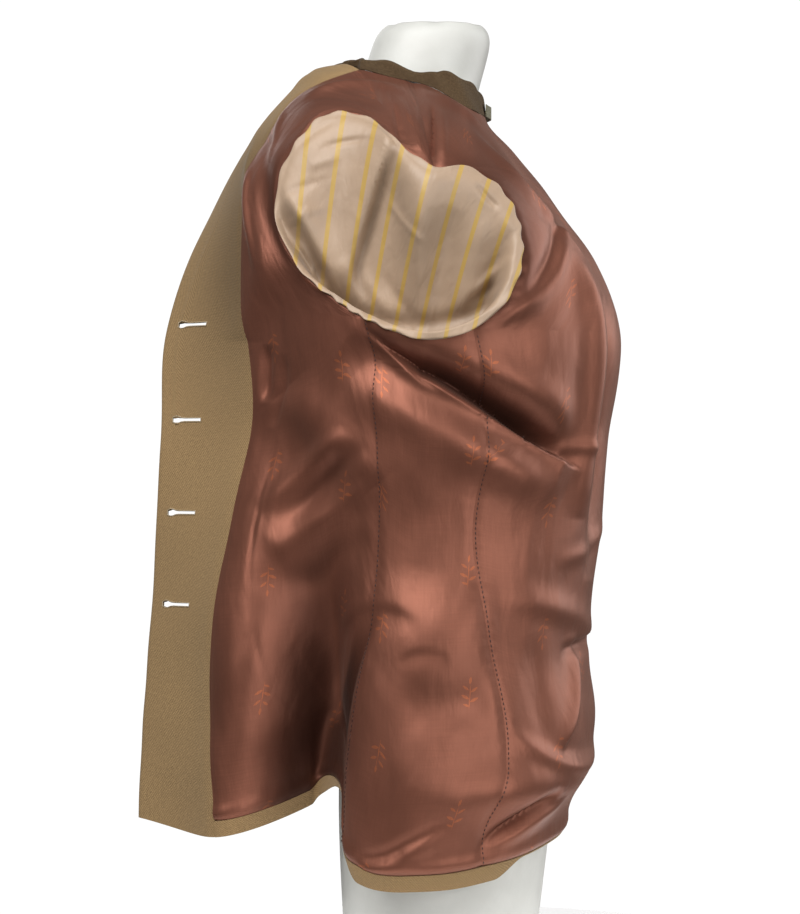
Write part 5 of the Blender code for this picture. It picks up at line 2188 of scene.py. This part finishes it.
@dataclass
class Buttons:
    """The buttons on the left front, each set where its CAD node sits."""

    count: int = 4
    radius: float = 0.0095
    thick: float = 0.0034
    rim: float = 0.0018
    dish: float = 0.0010
    sides: int = 48
    bevel: float = 0.0005
    bevel_steps: int = 3
    shank: float = 0.0014
    shank_radius: float = 0.0020
    level: float = 0.9

    def build(self) -> list[Piece]:
        """All buttons, top one first."""
        return [self.button(f"button_{number}") for number in range(1, self.count + 1)]

    def button(self, node: str) -> Piece:
        """One dished button with its shank.

        Args:
            node: the CAD node that it stands for.

        Returns:
            The finished piece.
        """
        deselect()
        bpy.ops.mesh.primitive_cylinder_add(vertices=self.sides, radius=self.radius, depth=self.thick)
        piece = bpy.context.active_object
        piece.name = f"dished_{node}"
        bpy.ops.object.mode_set(mode="EDIT")
        bpy.ops.mesh.select_mode(type="FACE")
        for way, inset, down in ((1, self.rim, self.dish), (-1, self.radius - self.shank_radius, self.shank)):
            self.pick_end(piece, way)
            bpy.ops.mesh.inset(thickness=inset, depth=0.0)
            bpy.ops.mesh.extrude_region_move(TRANSFORM_OT_translate={"value": (0.0, 0.0, -down)})
        bpy.ops.object.mode_set(mode="OBJECT")
        edge = piece.modifiers.new("edge", "BEVEL")
        edge.width = self.bevel
        edge.segments = self.bevel_steps
        bpy.ops.object.modifier_apply(modifier=edge.name)
        bpy.ops.object.shade_smooth_by_angle(angle=SHARP_ANGLE)
        self.seat(piece, node)
        deselect()
        return settle(piece, HORN, "button", node)

    def pick_end(self, piece: Piece, way: int) -> None:
        """Selects the largest face of one end.

        Args:
            piece: the button.
            way: 1 for the face that looks up, -1 for the one that looks down.
        """
        bpy.ops.mesh.select_all(action="DESELECT")
        bpy.ops.object.mode_set(mode="OBJECT")
        ends = [face for face in piece.data.polygons if face.normal.z * way > self.level]
        max(ends, key=lambda face: face.area).select = True
        bpy.ops.object.mode_set(mode="EDIT")

    def seat(self, piece: Piece, node: str) -> None:
        """Turns and moves a button to its CAD node, and applies both.

        Args:
            piece: the button, made about the origin.
            node: the CAD node.
        """
        corners = np.array([vert.co[:] for vert in frame["nodes"][node].data.vertices])
        middle = (corners.min(axis=0) + corners.max(axis=0)) / 2
        _, _, axes = np.linalg.svd(corners - corners.mean(axis=0), full_matrices=False)
        axis = Vector(axes[2] * np.sign(axes[2][0]))
        piece.matrix_world = Matrix.Translation(middle) @ axis.to_track_quat("Z", "Y").to_matrix().to_4x4()
        take(piece)
        bpy.ops.object.transform_apply(location=True, rotation=True, scale=True)


@dataclass
class SeamStitching:
    """Running stitches beside the long seams of a half's lining."""

    body: BodyHalf
    pitch: float = 0.0038
    length: float = 0.0023
    radius: float = 0.00040
    sides: int = 6
    stands_off: float = 0.5
    taper: Floats = (0.35, 1.0, 1.0, 0.35)

    def build(self) -> list[Piece]:
        """One piece of stitches for each seam."""
        lines = self.body.stitch_lines()
        return [self.stitched(seam, *line) for seam, line in lines.items()]

    def stitched(self, seam: str, points: Array, normals: Array) -> Piece:
        """All stitches of one seam as one piece.

        Args:
            seam: the seam's name.
            points: the line that the stitches follow.
            normals: the cloth's normals along it.

        Returns:
            The finished piece.
        """
        run = run_up(points)
        rings = len(self.taper)
        verts, faces = [], []
        for start in np.arange(self.pitch, run[-1] - self.pitch, self.pitch):
            at = np.linspace(start, start + self.length, rings)
            spots, up = on_line(at, run, points), unit(on_line(at, run, normals))
            aside = unit(np.cross(spots[-1] - spots[0], up))
            first = len(verts)
            for spot, high, wide, share in zip(spots, up, aside, self.taper):
                for turned in np.arange(self.sides) * 2 * math.pi / self.sides:
                    around = math.cos(turned) * high + math.sin(turned) * wide
                    verts.append(spot + self.radius * (self.stands_off * high + share * around))
            for here in range(first, len(verts) - self.sides, self.sides):
                there = here + self.sides
                for side in range(self.sides):
                    beside = (side + 1) % self.sides
                    faces.append((here + side, here + beside, there + beside, there + side))
        mesh = bpy.data.meshes.new(seam)
        mesh.from_pydata([tuple(vert) for vert in verts], [], faces)
        mesh.shade_smooth()
        piece = put_in_scene(f"stitches_{seam}_{self.body.half.word}", mesh)
        return settle(piece, SEAM_THREAD, None)


@dataclass
class Buttonholes:
    """Thread round each buttonhole of the right facing, its eye towards the front edge."""

    body: BodyHalf
    thread: float = 0.00055
    thread_steps: int = 2
    lift: float = 0.0001

    def build(self) -> list[Piece]:
        """One rim of thread for each buttonhole, top one first."""
        return [self.rim(number, row) for number, row in enumerate(self.body.pattern.slit_rows(), start=1)]

    def rim(self, number: int, row: int) -> Piece:
        """The thread round one buttonhole.

        Args:
            number: the buttonhole's number.
            row: the row of the facing's cells that it opens.

        Returns:
            The finished piece.
        """
        first, wide, _ = self.body.pattern.facing_columns
        below, above = (self.body.outer["facing"][row + step, first : first + wide + 1] for step in (0, 1))
        outline = np.concatenate([below, above[::-1]]) + OUTWARD * self.lift
        curve = bpy.data.curves.new(f"buttonhole_{number}", "CURVE")
        curve.dimensions = "3D"
        curve.bevel_depth = self.thread
        curve.bevel_resolution = self.thread_steps
        line = curve.splines.new("POLY")
        line.points.add(len(outline) - 1)
        for point, place in zip(line.points, outline):
            point.co = (*place, 1.0)
        line.use_cyclic_u = True
        piece = put_in_scene(f"buttonhole_thread_{number}", curve)
        take(piece)
        bpy.ops.object.convert(target="MESH")
        bpy.ops.object.shade_smooth()
        deselect()
        return settle(piece, HOLE_THREAD, None)


@dataclass(frozen=True)
class SoftBox:
    """A square soft light."""

    name: str
    place: Triple
    aim: Triple
    size: float
    watts: float
    colour: Colour = (1.0, 1.0, 1.0)

    def build(self) -> None:
        """Adds the light and aims it."""
        way = Vector(self.aim) - Vector(self.place)
        turn = way.to_track_quat("-Z", "Y").to_euler()
        bpy.ops.object.light_add(type="AREA", location=self.place, rotation=turn)
        lamp = bpy.context.active_object
        lamp.name = self.name
        lamp.data.size = self.size
        lamp.data.energy = self.watts
        lamp.data.color = self.colour


@dataclass
class Studio:
    """The white studio: floor, world, lights and camera."""

    floor_radius: float = 0.34
    floor_sides: int = 64
    floor_roughness: float = 0.8
    floor_colour: Colour = (0.90, 0.90, 0.90)
    floor_glow: float = 0.45
    daylight: float = 0.08
    backdrop: float = 1.05
    lights: tuple[SoftBox, ...] = (
        SoftBox("key", (1.6, -0.75, 2.0), (0.0, -0.02, 0.42), 2.0, 74.0),
        SoftBox("fill", (1.9, 1.4, 0.45), (0.0, 0.0, 0.42), 1.5, 24.0),
        SoftBox("back_right", (-0.4, 1.5, 0.9), (0.05, 0.05, 0.42), 1.3, 16.0),
        SoftBox("back_left", (-1.6, -0.6, 1.0), (0.0, -0.1, 0.42), 1.2, 8.0),
    )

    def build(self) -> None:
        """Sets the whole studio up."""
        deselect()
        size = {"vertices": self.floor_sides, "radius": self.floor_radius}
        bpy.ops.mesh.primitive_circle_add(**size, fill_type="NGON")
        floor = bpy.context.active_object
        floor.name = "studio_floor"
        paint = Finish("floor_paint", self.floor_colour, self.floor_roughness).material()
        paint.node_tree.nodes["Principled BSDF"].inputs["Emission Strength"].default_value = self.floor_glow
        floor.data.materials.append(paint)
        for light in self.lights:
            light.build()
        self.world()
        self.camera()
        bpy.context.scene.view_settings.view_transform = "Standard"

    def world(self) -> None:
        """White behind the object, and softer daylight on it."""
        world = bpy.data.worlds.new("studio_world")
        world.use_nodes = True
        sketch = NodeSketch(world.node_tree)
        seen = sketch.add("LightPath").outputs["Is Camera Ray"]
        strength = sketch.math("MULTIPLY_ADD", seen, self.backdrop - self.daylight, self.daylight)
        sheet = world.node_tree.nodes["Background"]
        sheet.inputs["Color"].default_value = (1.0, 1.0, 1.0, 1.0)
        sketch.feed(strength, sheet, "Strength")
        bpy.context.scene.world = world

    def camera(self) -> None:
        """The photograph's camera."""
        place = (VIEW.distance, VIEW.middle_y, VIEW.middle_z)
        bpy.ops.object.camera_add(location=place, rotation=(math.pi / 2, 0.0, math.pi / 2))
        camera = bpy.context.active_object
        camera.name = "photo_camera"
        camera.data.lens = VIEW.lens
        camera.data.sensor_width = VIEW.sensor
        camera.data.dof.use_dof = False
        bpy.context.scene.camera = camera


def main() -> None:
    """Builds every sub-assembly in order, noting each piece's face count, then the studio."""
    logging.basicConfig(level=logging.INFO, format="%(name)s: %(message)s")
    right = Pattern(
        Half.RIGHT, lower_rows=180, armhole_rows=80, shoulder_rows=18, front_columns=80, side_columns=60,
        back_columns=90, facing_columns=(6, 10, 12), row_room=0.0018, close_rows=104,
    )
    left = Pattern(
        Half.LEFT, lower_rows=90, armhole_rows=36, shoulder_rows=12, front_columns=32, side_columns=24,
        back_columns=40, facing_columns=(4, 6, 8),
    )
    right_body, left_body = BodyHalf(Half.RIGHT, right), BodyHalf(Half.LEFT, left)
    assemblies = [
        DressForm(),
        right_body,
        left_body,
        Sleeve(Half.RIGHT, right),
        Sleeve(Half.LEFT, left),
        Collar(right),
        HangerLoop(),
        SeamStitching(right_body),
        SeamStitching(left_body),
        Buttonholes(right_body),
        Buttons(),
    ]
    for assembly in assemblies:
        for piece in assembly.build():
            LOG.info("%s has %d faces", piece.name, len(piece.data.polygons))
    Studio().build()


if __name__ == "__main__":
    main()
